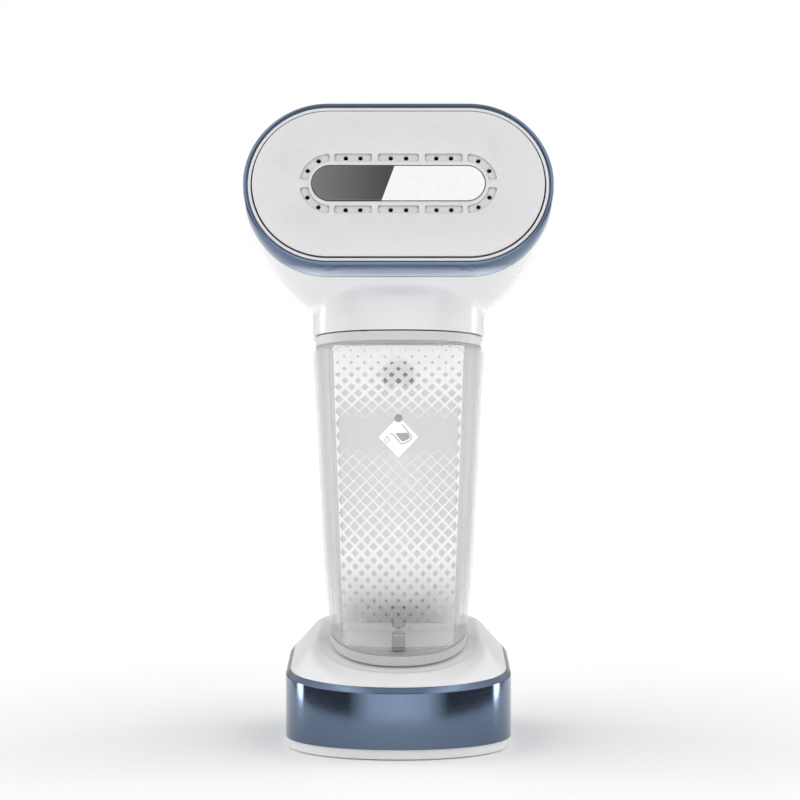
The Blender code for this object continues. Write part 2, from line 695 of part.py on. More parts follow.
def build_chamber_fittings(parent):
    shank = CHAMBER_FLANGE_DEPTH + GASKET_DEPTH + 2 * GAP + 1.2 * MM
    head_at = CHAMBER_FRONT - CHAMBER_FLANGE_DEPTH - GAP
    for number, (x, y) in enumerate(plate_screw_places(), 1):
        screw(f"plate_screw_{number}", (x, y, head_at), (0, 0, 1), shank, parent)
    behind = CHAMBER_BACK - GAP - HEATER_RADIUS
    straight = CHAMBER_FLAT - 4 * MM
    leg = HEATER_LEG
    bend = [(straight + leg * math.sin(a), -leg * math.cos(a), behind)
            for a in (math.pi * k / 4 for k in range(1, 4))]
    tail = behind - 12 * MM
    points = [(-straight + 6 * MM, -leg, tail), (-straight + 7 * MM, -leg, behind - 3 * MM),
              (-straight + 13 * MM, -leg, behind),
              (0, -leg, behind), (straight, -leg, behind), *bend, (straight, leg, behind), (0, leg,
                                                                                            behind),
              (-straight + 13 * MM, leg, behind), (-straight + 7 * MM, leg,
                                                   behind - 3 * MM), (-straight + 6 * MM, leg, tail)]
    heater = tube("heating_element", points, HEATER_RADIUS, "steel", 1, 2)
    heater.parent = parent
    cylinder("thermostat", 8 * MM, 7 * MM, (8 * MM, 0, CHAMBER_BACK - GAP - 7 * MM),
             slot="grey_plastic",
             segments=18, parent=parent)
    fuse_y = leg - HEATER_RADIUS - 2.6 * MM
    cylinder("thermal_fuse", FUSE_RADIUS, FUSE_LENGTH,
             (-CHAMBER_FLAT + 16 * MM, fuse_y - 6 * MM, CHAMBER_BACK - 2.6 * MM),
             (-1, 0, 0), "steel", 10, parent)


def screw(name, place, way, shank, parent=None):
    """Pan-head screw: place is under its head, and its shank runs along way."""
    way = Vector(way).normalized()
    head = cylinder(name, SCREW_HEAD_RADIUS, SCREW_HEAD_DEPTH, Vector(place) - way * SCREW_HEAD_DEPTH,
                    way,
                    "steel", 12, parent)
    stem = cylinder(name + "_shank", SCREW_RADIUS, shank + 0.5 * MM, Vector(place) - way * 0.5 * MM,
                    way,
                    None, 10, parent)
    boolean(head, stem, "UNION")
    drive = box(name + "_drive", (0.9 * MM, 3.6 * MM, 1.6 * MM), Vector(place) - way * SCREW_HEAD_DEPTH,
                None, parent, along(way))
    boolean(head, drive)
    return head


# ---------------------------------------------------------------- shells
def build_head_shell():
    stops = [SHELL_SPLIT * k / (SWEEP_RINGS - 1) for k in range(SWEEP_RINGS)]
    shell = loft("head_shell", [sweep_ring(t) for t in stops], "white_plastic")
    boolean(shell, neck_block("neck_outer", 0.0), "UNION")
    past = [(0.0, -WALL * 2), *((t, 0.0) for t in stops), (SHELL_SPLIT, WALL * 2)]
    rings = []
    for t, shift in past:
        _, way = sweep_point(t)
        rings.append([point + way * shift for point in sweep_ring(t, WALL)])
    boolean(shell, loft("head_hollow", rings))
    boolean(shell, neck_block("neck_inner", WALL))
    boolean(shell, spine_block("neck_floor_hole", WALL + GAP, low=DECK_TOP_Z, high=NECK_TOP_Z - 8 * MM))
    place, out = outer_skin(BUTTON_AT)
    boolean(shell, cylinder("button_hole", BUTTON_RADIUS + RUNNING_GAP, 12 * MM, place - out * 6 * MM,
                            out))
    place, out = outer_skin(LENS_AT)
    boolean(shell, cylinder("lens_hole", LENS_RADIUS + GAP, 12 * MM, place - out * 6 * MM, out,
                            segments=12))
    smooth(shell)


def outer_skin(t):
    """Point on the back of the body at t, and the way out of it."""
    place, way = sweep_point(t)
    step, next_way = sweep_point(t + 0.01)
    up = Vector((0, -way.z, way.y))
    here = place + up * sweep_sizes(t)[2]
    there = step + Vector((0, -next_way.z, next_way.y)) * sweep_sizes(t + 0.01)[2]
    along_skin = (there - here).normalized()
    return here, Vector((0, -along_skin.z, along_skin.y))


def neck_block(name, inset):
    """Solid of the neck above the tank. It leans back into the head as it rises."""
    half = NECK_HALF_WIDTH - inset
    back = COLUMN_FRONT_Y + TANK_DEPTH + SPINE_DEPTH + GAP - inset
    rings = []
    for rise in (0.0, 0.45, 0.7, 0.88, 1.0):
        front = COLUMN_FRONT_Y - 0.5 * MM + inset + 9 * MM * rise ** 4
        ring = []
        for x, y in column_outline(half, front, back):
            floor = neck_plane_z(y) + GAP + inset
            ring.append((x, y, floor + (NECK_TOP_Z - floor) * rise))
        rings.append(ring)
    return loft(name, rings)


def spine_block(name, inset, low, high, slot=None):
    """Upright block behind the tank. Its foot reaches down into the base."""
    rings = []
    for z in (low, high):
        half = tank_half_width(z) - SPINE_SIDE_INSET - inset
        rings.append([(x, y, z) for x, y in rounded_rectangle(
            half, SPINE_FRONT_Y + inset, SPINE_BACK_Y - inset, SPINE_CORNER - min(inset,
                                                                                  SPINE_CORNER * 0.7))])
    return loft(name, rings, slot)


SPINE_FOOT_Z = DECK_TOP_Z - 14 * MM
SPINE_TOP_Z = neck_plane_z(SPINE_BACK_Y) - GAP
VALVE_Y = COLUMN_FRONT_Y + TANK_DEPTH
VALVE_Z = tank_floor_z(VALVE_Y) + VALVE_ABOVE_DECK - TANK_CAP / 2
PLUG_Z = neck_plane_z(VALVE_Y) - PLUG_BELOW_TOP


def build_spine():
    spine = spine_block("column_spine", 0.0, SPINE_FOOT_Z, SPINE_TOP_Z, "white_plastic")
    boolean(spine, spine_block("spine_hollow", WALL, SPINE_FOOT_Z - WALL * 2, SPINE_TOP_Z + WALL * 2))
    recess = plug_prism("plug_recess", 1.5 * MM, SPINE_FRONT_Y - 2 * MM, SPINE_FRONT_Y + WALL + 4 * MM)
    tray = plug_prism("plug_tray", 1.5 * MM + WALL, SPINE_FRONT_Y + 0.5 * MM,
                      SPINE_FRONT_Y + PLUG_PULL + PLUG_HEAD + 3 * MM)
    boolean(spine, tray, "UNION")
    boolean(spine, recess)
    boolean(spine, dock_pad_block("dock_pad_recess", GAP, -2 * MM))
    port = cylinder("spigot_hole", SPIGOT_RADIUS + GAP, WALL * 4, (0, SPINE_FRONT_Y - WALL, VALVE_Z),
                    (0, 1, 0))
    boolean(spine, port)


def dock_pad_block(name, grow, front, slot=None):
    """Flat pad low on the spine's front, from front to its own depth plus grow."""
    low = DOCK_PAD_BOTTOM_Z
    outline = rounded_rectangle(DOCK_PAD_HALF_WIDTH + grow, low - grow, low + DOCK_PAD_HEIGHT + grow,
                                4 * MM)
    back = SPINE_FRONT_Y + DOCK_PAD_THICKNESS + grow
    return loft(name, [[(x, y, z) for x, z in outline] for y in (SPINE_FRONT_Y + front, back)], slot)


def build_dock_pad():
    """Soft pad that the tank's foot is pressed against, with a hole for the spigot."""
    pad = dock_pad_block("dock_pad", 0.0, 0.0, "grey_rubber")
    boolean(pad, cylinder("dock_pad_hole", SPIGOT_RADIUS + GAP, 6 * MM,
                          (0, SPINE_FRONT_Y - 2 * MM, VALVE_Z), REARWARD))


def plug_prism(name, grow, low_y, high_y, slot=None):
    """D-shaped prism: round on top, flat below, along Y."""
    radius = PLUG_RADIUS + grow
    drop = PLUG_DROP + grow
    floor = math.asin(-drop / radius) if drop < radius else -math.pi / 2
    angles = [floor + (math.pi - 2 * floor) * k / 14 for k in range(15)]
    ring = [(radius * math.cos(a), PLUG_Z + radius * math.sin(a)) for a in angles]
    return loft(name, [[(x, y, z) for x, z in ring] for y in (low_y, high_y)], slot)


def grip_ring(z, inset, start, end, count):
    """Part of the grip's section at height z, between two angles."""
    spread = smoothstep((DECK_TOP_Z + 22 * MM - z) / (30 * MM))
    half_x = GRIP_HALF_WIDTH + GRIP_FLARE * spread - inset
    half_y = GRIP_HALF_DEPTH - inset
    return [Vector((half_x * math.cos(a), grip_y(z) + half_y * math.sin(a), z))
            for a in (start + (end - start) * k / count for k in range(count + 1))]


GRIP_FOOT_Z = DECK_TOP_Z - 15 * MM


def bend_ring(t, inset, start, end):
    """Part of the body's section at t, between two angles: 0 is the side and 90 degrees is the back."""
    place, way = sweep_point(t)
    up = Vector((0, -way.z, way.y))
    flat, side, top, belly = sweep_sizes(t)
    ring = []
    for k in range(GRIP_STEPS + 1):
        a = start + (end - start) * k / GRIP_STEPS
        height = math.sin(a) * ((top if math.sin(a) > 0 else belly) - inset)
        across = math.cos(a) * (side - inset)
        ring.append(place + Vector((across + math.copysign(flat, across), 0, 0)) + up * height)
    return ring


def grip_half(name, outer_side, slot):
    """One half of the grip: the bend under the head, then the straight run down into the base."""
    start = GRIP_SPLIT_GAP if outer_side else math.pi + GRIP_SPLIT_GAP
    end = start + math.pi - 2 * GRIP_SPLIT_GAP
    first = SHELL_SPLIT + 0.006
    sections = [lambda inset, a, b, t=first + (1 - first) * k / 3: bend_ring(t, inset, a,
                                                                             b) for k in range(3)]
    sections += [lambda inset, a, b, z=GRIP_TOP_Z + (GRIP_FOOT_Z - GRIP_TOP_Z) * k / 7:
                 grip_ring(z, inset, a, b, GRIP_STEPS) for k in range(8)]
    rings = [section(0.0, start, end) + section(WALL, end, start) for section in sections]
    obj = loft(name, rings, slot)
    smooth(obj)
    return obj


def ear_front_y():
    """How far forward the grip is still wide enough inside for the trigger bracket."""
    share = (BRACKET_HALF + BRACKET_SHEET + EAR_CLEARANCE) / (GRIP_HALF_WIDTH - WALL)
    return GRIP_TOP_Y - (GRIP_HALF_DEPTH - WALL) * math.sqrt(1 - share ** 2)


EAR_FRONT_Y = ear_front_y()
PIVOT = Vector((0, EAR_FRONT_Y + PIN_BEHIND_EAR, TRIGGER_TOP_Z - PIVOT_DROP))
TRIGGER_FOOT_Z = TRIGGER_TOP_Z - TRIGGER_LENGTH


def build_grip():
    front = grip_half("grip_front_shell", False, "white_plastic")
    slot_half = TRIGGER_WIDTH / 2 + RUNNING_GAP
    height = TRIGGER_LENGTH + 3 * MM
    cutter = box("trigger_slot", (slot_half * 2, GRIP_HALF_DEPTH * 1.1, height),
                 (0, GRIP_TOP_Y - GRIP_HALF_DEPTH, TRIGGER_TOP_Z - TRIGGER_LENGTH / 2))
    boolean(front, cutter)
    back = grip_half("grip_back_shell", True, "white_plastic")
    way = grip_way()
    middle = Vector((0, grip_y(SLIDER_Z) + GRIP_HALF_DEPTH, SLIDER_Z))
    reach = SLIDER_HALF[1] - 2.5 * MM + SLIDER_TRAVEL / 2 + RUNNING_GAP
    boolean(back, box("slider_slot", (2 * SLIDER_SHANK + 2 * RUNNING_GAP, 14 * MM, 2 * reach),
                      middle - way * (SLIDER_TRAVEL / 2), rotation=along(way)))


def grip_way():
    """Unit vector up along the grip."""
    return Vector((0, GRIP_LEAN, GRIP_TOP_Z - DECK_TOP_Z)).normalized()


# ---------------------------------------------------------------- trigger and controls
def build_trigger():
    """Side profile of the lever, extruded to its width."""
    front = lambda z: grip_y(z) - GRIP_HALF_DEPTH
    top, foot = TRIGGER_TOP_Z, TRIGGER_FOOT_Z
    steps = 8
    finger = []
    for k in range(steps + 1):
        z = top - 2 * MM + (foot - top + 2 * MM) * k / steps
        swell = math.sin(math.pi * (k / steps) ** 0.8)
        finger.append((front(min(z, GRIP_TOP_Z)) + 2 * MM - (TRIGGER_REACH + 2 * MM) * swell, z))
    inner = [(front(foot) + 7 * MM, foot + 1 * MM), (front(foot) + 8 * MM, foot + 12 * MM),
             (PIVOT.y - 4 * MM, PIVOT.z - 9 * MM), (PIVOT.y + 4 * MM, PIVOT.z - 4 * MM),
             (PIVOT.y + 4 * MM, PIVOT.z + 3.5 * MM), (PIVOT.y - 4 * MM, PIVOT.z + 4 * MM)]
    outline = finger + inner
    half = TRIGGER_WIDTH / 2
    lever = loft("trigger", [[(x, y, z) for y, z in outline] for x in (-half, half)], "blue_trim")
    bevel(lever, 1.2 * MM, 1, 60)
    boolean(lever, cylinder("trigger_bore", PIN_RADIUS + 0.1 * MM, TRIGGER_WIDTH * 2,
                            (-TRIGGER_WIDTH, PIVOT.y, PIVOT.z), (1, 0, 0), segments=16))
    smooth(lever)


BRACKET_BACK_Y = PIVOT.y + 9 * MM


def build_trigger_bracket():
    """Folded sheet that carries the pin, the spring and the switch."""
    low, high = TRIGGER_FOOT_Z + 2 * MM, PIVOT.z + 4.5 * MM
    sheet = BRACKET_SHEET
    bracket = box("trigger_bracket", (2 * (BRACKET_HALF + sheet), sheet, high - low),
                  (0, BRACKET_BACK_Y + sheet / 2, (low + high) / 2), "steel")
    depth = BRACKET_BACK_Y + sheet - EAR_FRONT_Y
    for side in (-1, 1):
        ear = box(f"bracket_ear_{side}", (sheet, depth, 14 * MM),
                  (side * (BRACKET_HALF + sheet / 2), EAR_FRONT_Y + depth / 2, PIVOT.z - 2.4 * MM))
        boolean(bracket, ear, "UNION")
    boolean(bracket, cylinder("bracket_bore", PIN_RADIUS + 0.3 * MM, BRACKET_HALF * 4,
                              (-BRACKET_HALF * 2, PIVOT.y, PIVOT.z), (1, 0, 0), segments=16))
    pin_half = BRACKET_HALF + sheet + 0.6 * MM
    cylinder("trigger_pin", PIN_RADIUS, 2 * pin_half, (-pin_half, PIVOT.y, PIVOT.z), (1, 0, 0), "steel",
             16)


SPRING_Z = TRIGGER_FOOT_Z + 7 * MM


def build_trigger_spring():
    """Compression spring between the lever and the bracket."""
    start = grip_y(TRIGGER_FOOT_Z) - GRIP_HALF_DEPTH + 8 * MM + 0.7 * MM
    end = BRACKET_BACK_Y - 0.8 * MM
    turns, per_turn, radius = SPRING_TURNS, 8, SPRING_RADIUS
    points = []
    for k in range(turns * per_turn + 1):
        a = 2 * math.pi * k / per_turn
        y = start + (end - start) * k / (turns * per_turn)
        points.append((radius * math.cos(a), y, SPRING_Z + radius * math.sin(a)))
    tube("trigger_spring", points, SPRING_WIRE, "steel", 0, 1)


def build_switches():
    body_y = BRACKET_BACK_Y - GAP - TRIGGER_SWITCH[1] / 2
    switch = box("trigger_switch", TRIGGER_SWITCH, (0, body_y, TRIGGER_FOOT_Z + 22 * MM),
                 "black_plastic")
    nib = cylinder("switch_nib", 1.2 * MM, 4.4 * MM, (0, body_y - 3 * MM, TRIGGER_FOOT_Z + 24 * MM),
                   (0, -1, 0), segments=10)
    boolean(switch, nib, "UNION")

    place, out = outer_skin(BUTTON_AT)
    foot = place - out * (WALL + 2.5 * MM)
    button = cylinder("power_button", BUTTON_RADIUS, WALL + 2.5 * MM + BUTTON_PROUD, foot, out,
                      "grey_plastic", 24)
    rim = cylinder("button_rim", BUTTON_RADIUS + 1.4 * MM, 1.2 * MM, foot - out * 0.2 * MM, out,
                   segments=24)
    boolean(button, rim, "UNION")
    smooth(button)
    body = foot - out * (BUTTON_TRAVEL + 4.8 * MM)
    switch = box("power_switch", (SWITCH_SIZE, SWITCH_SIZE, SWITCH_SIZE), body, "black_plastic",
                 rotation=along(out))
    cup_base = body - out * 4.5 * MM
    cup = BUTTON_RADIUS + 4.2 * MM
    depth = (foot - cup_base).length
    boolean(switch, cylinder("switch_cup", cup, depth, cup_base, out, segments=20), "UNION")
    boolean(switch, cylinder("switch_cup_hollow", cup - 1.6 * MM, depth, cup_base + out * 2 * MM, out,
                             segments=20))
    post = box("switch_post", (SWITCH_SIZE, SWITCH_SIZE, SWITCH_SIZE - 1 * MM), body, rotation=along(out))
    boolean(switch, post, "UNION")

    place, out = outer_skin(LENS_AT)
    cylinder("indicator_lens", LENS_RADIUS, WALL + 1.4 * MM, place - out * (WALL + 1.0 * MM), out,
             "lamp_lens", 12)


def build_slider():
    """Lock for steady steam: a thumb pad outside, a shank through the slot and a keeper inside."""
    way = grip_way()
    turn = along(way)
    skin = Vector((0, grip_y(SLIDER_Z) + GRIP_HALF_DEPTH, SLIDER_Z))
    across, up = SLIDER_HALF
    lift = Vector((0, way.z, -way.y))
    pad = box("lock_slider", (2 * across, SLIDER_PAD, 2 * up),
              skin + lift * (GAP + SLIDER_PAD / 2 + 0.2 * MM),
              "blue_trim", rotation=turn)
    bevel(pad, 0.5 * MM, 1)
    stem = box("slider_stem", (2 * SLIDER_SHANK, WALL + 3.4 * MM, 2 * up - 5 * MM),
               skin - lift * (WALL + 0.6 * MM) / 2,
               rotation=turn)
    keeper = box("slider_keeper", (2 * SLIDER_SHANK + 4 * MM, SLIDER_KEEPER, 2 * up - 4 * MM),
                 skin - lift * (WALL + 1.9 * MM), rotation=turn)
    boolean(pad, stem, "UNION")
    boolean(pad, keeper, "UNION")


# ---------------------------------------------------------------- water tank
def tank_ring(low_face, height, inset, back_y=None):
    """Section of the tank parallel to one of its sloped ends."""
    ends = {"floor": tank_floor_z, "top": lambda y: neck_plane_z(y) - GAP}
    back = COLUMN_FRONT_Y + TANK_DEPTH - TANK_BACK_THICKNESS - GAP if back_y is None else back_y
    plane = ends[low_face]
    ring = []
    for x, y in column_outline(1.0, COLUMN_FRONT_Y + inset, back, 0.5 * MM):
        z = plane(y) + height
        half = tank_half_width(z) - inset
        ring.append((x * half if abs(x) <= 1 else math.copysign(half, x), y, z))
    return ring


def build_tank():
    body = loft("tank_body", [tank_ring("floor", TANK_CAP + GAP, 0.0), tank_ring("top", -TANK_CAP - GAP,
                                                                                 0.0)],
                "clear_tank")
    beyond = COLUMN_FRONT_Y + TANK_DEPTH
    hollow = loft("tank_hollow", [tank_ring("floor", TANK_CAP - 4 * MM, TANK_WALL, beyond),
                                  tank_ring("top", 4 * MM, TANK_WALL, beyond)])
    boolean(body, hollow)
    smooth(body)
    for name, face, low, high, cup_low, cup_high in (
            ("tank_top_cap", "top", -TANK_CAP, 0.0, -TANK_CAP - 3 * MM, -TANK_WALL),
            ("tank_bottom_cap", "floor", 0.0, TANK_CAP, TANK_WALL, TANK_CAP + 3 * MM)):
        cap = loft(name, [tank_ring(face, low, 0.0), tank_ring(face, high, 0.0)], "frosted_tank")
        boolean(cap, loft(name + "_cup", [tank_ring(face, cup_low, TANK_WALL + 0.6 * MM),
                                          tank_ring(face, cup_high, TANK_WALL + 0.6 * MM)]))
        smooth(cap)
    build_tank_back()


def build_tank_back():
    """Frosted back panel. Its flange stands out past the tank's sides and its ends slant in."""
    back_y = COLUMN_FRONT_Y + TANK_DEPTH
    low, high = tank_floor_z(back_y) + 0.5 * MM, neck_plane_z(back_y) - GAP - 0.5 * MM
    slant = 6 * MM
    side = [(tank_half_width(low) - 1 * MM, low), (tank_half_width(low) + TANK_FLANGE, low + slant),
            (tank_half_width(high) + TANK_FLANGE, high - slant), (tank_half_width(high) - 1 * MM, high)]
    outline = side + [(-x, z) for x, z in reversed(side)]
    panel = loft("tank_back", [[(x, y, z) for x, z in outline] for y in (back_y - TANK_BACK_THICKNESS,
                                                                         back_y)],
                 "frosted_tank")
    bevel(panel, 0.6 * MM, 1)
    boolean(panel, plug_prism("plug_hole", -1.0 * MM, back_y - 10 * MM, back_y + 10 * MM))
    boolean(panel, plug_prism("plug_rebate", GAP, back_y - PLUG_REBATE, back_y + 10 * MM))
    boolean(panel, box("valve_hole", (VALVE_WIDTH + 2 * GAP, 20 * MM, VALVE_HEIGHT + 2 * GAP),
                       (0, back_y, VALVE_Z)))


def build_plug():
    back_y = COLUMN_FRONT_Y + TANK_DEPTH
    plug = plug_prism("filler_plug", 0.0, back_y - PLUG_REBATE + GAP,
                      back_y - PLUG_REBATE + GAP + PLUG_HEAD, "grey_rubber")
    inner = plug_prism("plug_stem", -1.0 * MM - GAP, back_y - TANK_BACK_THICKNESS - 1.5 * MM,
                       back_y - PLUG_REBATE + 1 * MM)
    boolean(plug, inner, "UNION")
    smooth(plug)


def build_valve():
    """Outlet valve through the tank's back, and the spigot on the spine that opens it."""
    back_y = VALVE_Y
    front = back_y - VALVE_LENGTH
    body = box("tank_valve_body", (VALVE_WIDTH, VALVE_LENGTH, VALVE_HEIGHT),
               (0, back_y - VALVE_LENGTH / 2, VALVE_Z),
               "grey_plastic")
    bevel(body, 1.1 * MM, 2)
    floor = tank_floor_z(INTAKE_Y + INTAKE_DEPTH) + TANK_WALL + 2 * GAP
    foot_centre = (0, INTAKE_Y + INTAKE_DEPTH / 2, floor + INTAKE_HEIGHT / 2)
    boolean(body, box("valve_foot", (VALVE_WIDTH, INTAKE_DEPTH, INTAKE_HEIGHT), foot_centre,
                      round_edges=0.6 * MM), "UNION")
    arm_start = Vector((0, foot_centre[1], foot_centre[2]))
    arm_end = Vector((0, front + 3 * MM, VALVE_Z))
    boolean(body, cylinder("valve_arm", INTAKE_ARM_RADIUS, (arm_end - arm_start).length, arm_start,
                           arm_end - arm_start,
                           segments=10), "UNION")
    boolean(body, cylinder("valve_bore", VALVE_BORE, VALVE_LENGTH, (0, front + 3 * MM, VALVE_Z),
                           REARWARD, segments=14))
    boolean(body, cylinder("valve_inlet", INTAKE_BORE, 20 * MM, (0, front + 6 * MM, VALVE_Z), (0, 0, 1),
                           segments=10))
    stem_radius = VALVE_BORE - 0.3 * MM
    cylinder("tank_valve_stem", stem_radius, VALVE_LENGTH - 5 * MM - STEM_TRAVEL - 1.0 * MM,
             (0, front + 3 * MM + STEM_TRAVEL + 0.5 * MM, VALVE_Z), REARWARD, "steel", 14)
    spigot_start = back_y - 1.2 * MM
    spigot = cylinder("dock_spigot", SPIGOT_TIP_RADIUS, WALL + 8 * MM, (0, spigot_start, VALVE_Z),
                      REARWARD, "grey_plastic", 14)
    collar = cylinder("spigot_collar", SPIGOT_RADIUS, WALL + 4 * MM,
                      (0, SPINE_FRONT_Y + 0.2 * MM, VALVE_Z), REARWARD, segments=14)
    boolean(spigot, collar, "UNION")
    ring_disc("dock_seal", SEAL_RADIUS, SEAL_BORE, SEAL_DEPTH,
              (0, SPINE_FRONT_Y + WALL + 4.5 * MM, VALVE_Z), REARWARD,
              "grey_rubber", 14)


# ---------------------------------------------------------------- foot
def build_base_shell():
    """Deck of the foot: a height field over its plan, turned into a shell with screw bosses."""
    edge = foot_outline(BAND_CHAMFER_INSET + GAP / 2)
    centre = Vector((0, (SPINE_FRONT_Y + SPINE_BACK_Y) / 2))
    rings = []
    for share in (1.0, 0.94, 0.87, 0.79, 0.7, 0.6, 0.42, 0.22):
        ring = []
        for x, y in edge:
            spot = centre.lerp(Vector((x, y)), share)
            inward = (Vector((x, y)) - centre).length * (1 - share)
            ring.append((spot.x, spot.y, deck_z(spot.y, inward)))
        rings.append(ring)
    skirt = [(x, y, deck_edge_z(y) - BAND_CHAMFER - 3 * MM) for x, y in edge]
    bm = loft_bm([skirt, *rings], capped=False)
    top = bm.verts.new((centre.x, centre.y, deck_z(centre.y, 0.03)))
    bm.verts.ensure_lookup_table()
    inner = bm.verts[-1 - FOOT_POINTS:-1]
    for i, vert in enumerate(inner):
        bm.faces.new((vert, inner[(i + 1) % len(inner)], top))
    shell = add_object("base_shell", mesh_from(bm, "base_shell"), "white_plastic")
    face_up(shell)
    solidify(shell, WALL)
    for number, (x, y) in enumerate(boss_places(), 1):
        boss = cylinder(f"boss_{number}", BOSS_RADIUS, deck_height_at(x, y) - 1.7 * MM - BOSS_FOOT_Z,
                        (x, y, BOSS_FOOT_Z),
                        segments=12)
        boolean(shell, boss, "UNION")
        boolean(shell, cylinder(f"boss_hole_{number}", SCREW_RADIUS + GAP, 14 * MM,
                                (x, y, BOSS_FOOT_Z - 2 * MM), segments=8))
    boolean(shell, spine_block("spine_hole", -GAP, SPINE_FOOT_Z - 20 * MM, DECK_TOP_Z + 20 * MM))
    full = 2 * math.pi
    heights = (GRIP_FOOT_Z - 20 * MM, GRIP_FOOT_Z, DECK_TOP_Z - 5 * MM, DECK_TOP_Z, DECK_TOP_Z + 8 * MM)
    hole = [grip_ring(z, -GAP, 0, full * 19 / 20, 19) for z in heights]
    boolean(shell, loft("grip_hole", hole))
    smooth(shell)


def deck_height_at(x, y):
    """Height of the deck over a point, from its distance to the side edge."""
    return deck_z(y, FOOT_HALF_WIDTH - BAND_CHAMFER_INSET - abs(x))


def face_up(obj):
    bm = bmesh.new()
    bm.from_mesh(obj.data)
    if sum(face.normal.z * face.calc_area() for face in bm.faces) < 0:
        bmesh.ops.reverse_faces(bm, faces=bm.faces)
    bm.to_mesh(obj.data)
    bm.free()


def boss_places():
    return [(sx * BOSS_X, y) for sx in (-1, 1) for y in (BOSS_FRONT_Y, BOSS_REAR_Y)]


def build_trim_band():
    profile = ((0.0, lambda y: BAND_BOTTOM_Z), (0.0, lambda y: deck_edge_z(y) - BAND_CHAMFER),
               (BAND_CHAMFER_INSET, deck_edge_z),
               (BAND_CHAMFER_INSET, lambda y: deck_edge_z(y) - 1.0 * MM),
               (BAND_WALL, lambda y: deck_edge_z(y) - BAND_CHAMFER - 0.6 * MM),
               (BAND_WALL, lambda y: BAND_BOTTOM_Z))
    rings = [[(x, y, height(y)) for x, y in foot_outline(inset)] for inset, height in profile]
    band = loft("base_trim_band", [*rings, rings[0]], "blue_trim", capped=False)
    modify(band, "WELD", merge_threshold=WELD_DISTANCE)
    boolean(band, cylinder("gland_hole", GLAND_RADIUS + GAP, 30 * MM,
                           (0, FOOT_BACK_Y - 15 * MM, GLAND_Z), REARWARD))
    smooth(band)


def build_base_plate():
    inset = BASE_PLATE_INSET
    plate = loft("base_plate", [[(x, y, z) for x, y in foot_outline(inset + extra)]
                                for z, extra in ((PLATE_BOTTOM_Z, 0.6 * MM),
                                                 (PLATE_BOTTOM_Z + 0.6 * MM, 0.0), (BASE_FLOOR_Z, 0.0))],
                 "white_plastic")
    wells = [mesh_from(cylinder_bm(PAD_RADIUS + GAP, PAD_HEIGHT + 2 * MM, (x, y, -2 * MM + GAP),
                                   segments=20), "well")
             for x, y in pad_places()]
    for x, y in boss_places():
        wells.append(mesh_from(cylinder_bm(SCREW_HEAD_RADIUS + GAP, BASE_SCREW_RECESS + 2 * MM,
                                           (x, y, PLATE_BOTTOM_Z - 2 * MM),
                                           segments=12), "well"))
    boolean(plate, merged_cutter("base_wells", wells, None))
    shafts = [mesh_from(cylinder_bm(SCREW_RADIUS + GAP, 20 * MM, (x, y, 0), segments=8), "shaft")
              for x, y in boss_places()]
    boolean(plate, merged_cutter("base_shafts", shafts, None))


def pad_places():
    return [(sx * PAD_X, y) for sx in (-1, 1) for y in (PAD_FRONT_Y, PAD_REAR_Y)]


def build_base_fittings():
    for number, (x, y) in enumerate(pad_places(), 1):
        cylinder(f"rubber_foot_{number}", PAD_RADIUS, PAD_HEIGHT, (x, y, 0), slot="grey_rubber",
                 segments=20)
    for number, (x, y) in enumerate(boss_places(), 1):
        screw(f"base_screw_{number}", (x, y, PLATE_BOTTOM_Z + BASE_SCREW_RECESS - GAP), (0, 0, 1),
              BASE_SCREW_LENGTH)
    gland = cylinder("cord_gland", GLAND_RADIUS, 12 * MM, (0, FOOT_BACK_Y - 10 * MM, GLAND_Z), REARWARD,
                     "grey_rubber", 20)
    collar = cylinder("gland_collar", GLAND_RADIUS + GLAND_COLLAR, 3 * MM,
                      (0, FOOT_BACK_Y - 6 * MM, GLAND_Z), (0, 1, 0))
    boolean(gland, collar, "UNION")
    boolean(gland, cylinder("cord_hole", CORD_BORE, 40 * MM, (0, FOOT_BACK_Y - 25 * MM, GLAND_Z),
                            REARWARD, segments=16))


def build_pump():
    """Vibration pump on its side in the foot: a coil housing with a nozzle, and the plunger inside."""
    start = PUMP_Y - PUMP_LENGTH / 2
    pump = cylinder("water_pump", PUMP_RADIUS, PUMP_LENGTH, (0, start, PUMP_Z), REARWARD,
                    "black_plastic", 18)
    saddle = box("pump_saddle", (18 * MM, 22 * MM, PUMP_Z - BASE_FLOOR_Z - 0.5 * MM),
                 (0, PUMP_Y, (PUMP_Z + BASE_FLOOR_Z + 0.5 * MM) / 2))
    boolean(pump, saddle, "UNION")
    nozzle = cylinder("pump_nozzle", NOZZLE_RADIUS, 7 * MM, (0, start + PUMP_LENGTH - 1 * MM, PUMP_Z),
                      REARWARD, segments=12)
    boolean(pump, nozzle, "UNION")
    boolean(pump, cylinder("pump_barrel", PUMP_BARREL_RADIUS, PUMP_LENGTH - PUMP_END_WALL,
                           (0, start - 2 * MM, PUMP_Z), REARWARD, segments=16))
    boolean(pump, cylinder("pump_outlet", NOZZLE_BORE, PUMP_LENGTH + 20 * MM, (0, start, PUMP_Z),
                           REARWARD, segments=8))
    cylinder("pump_plunger", PLUNGER_RADIUS, PUMP_LENGTH - PUMP_END_WALL - 12 * MM,
             (0, start + 5 * MM, PUMP_Z), REARWARD, "steel", 16)


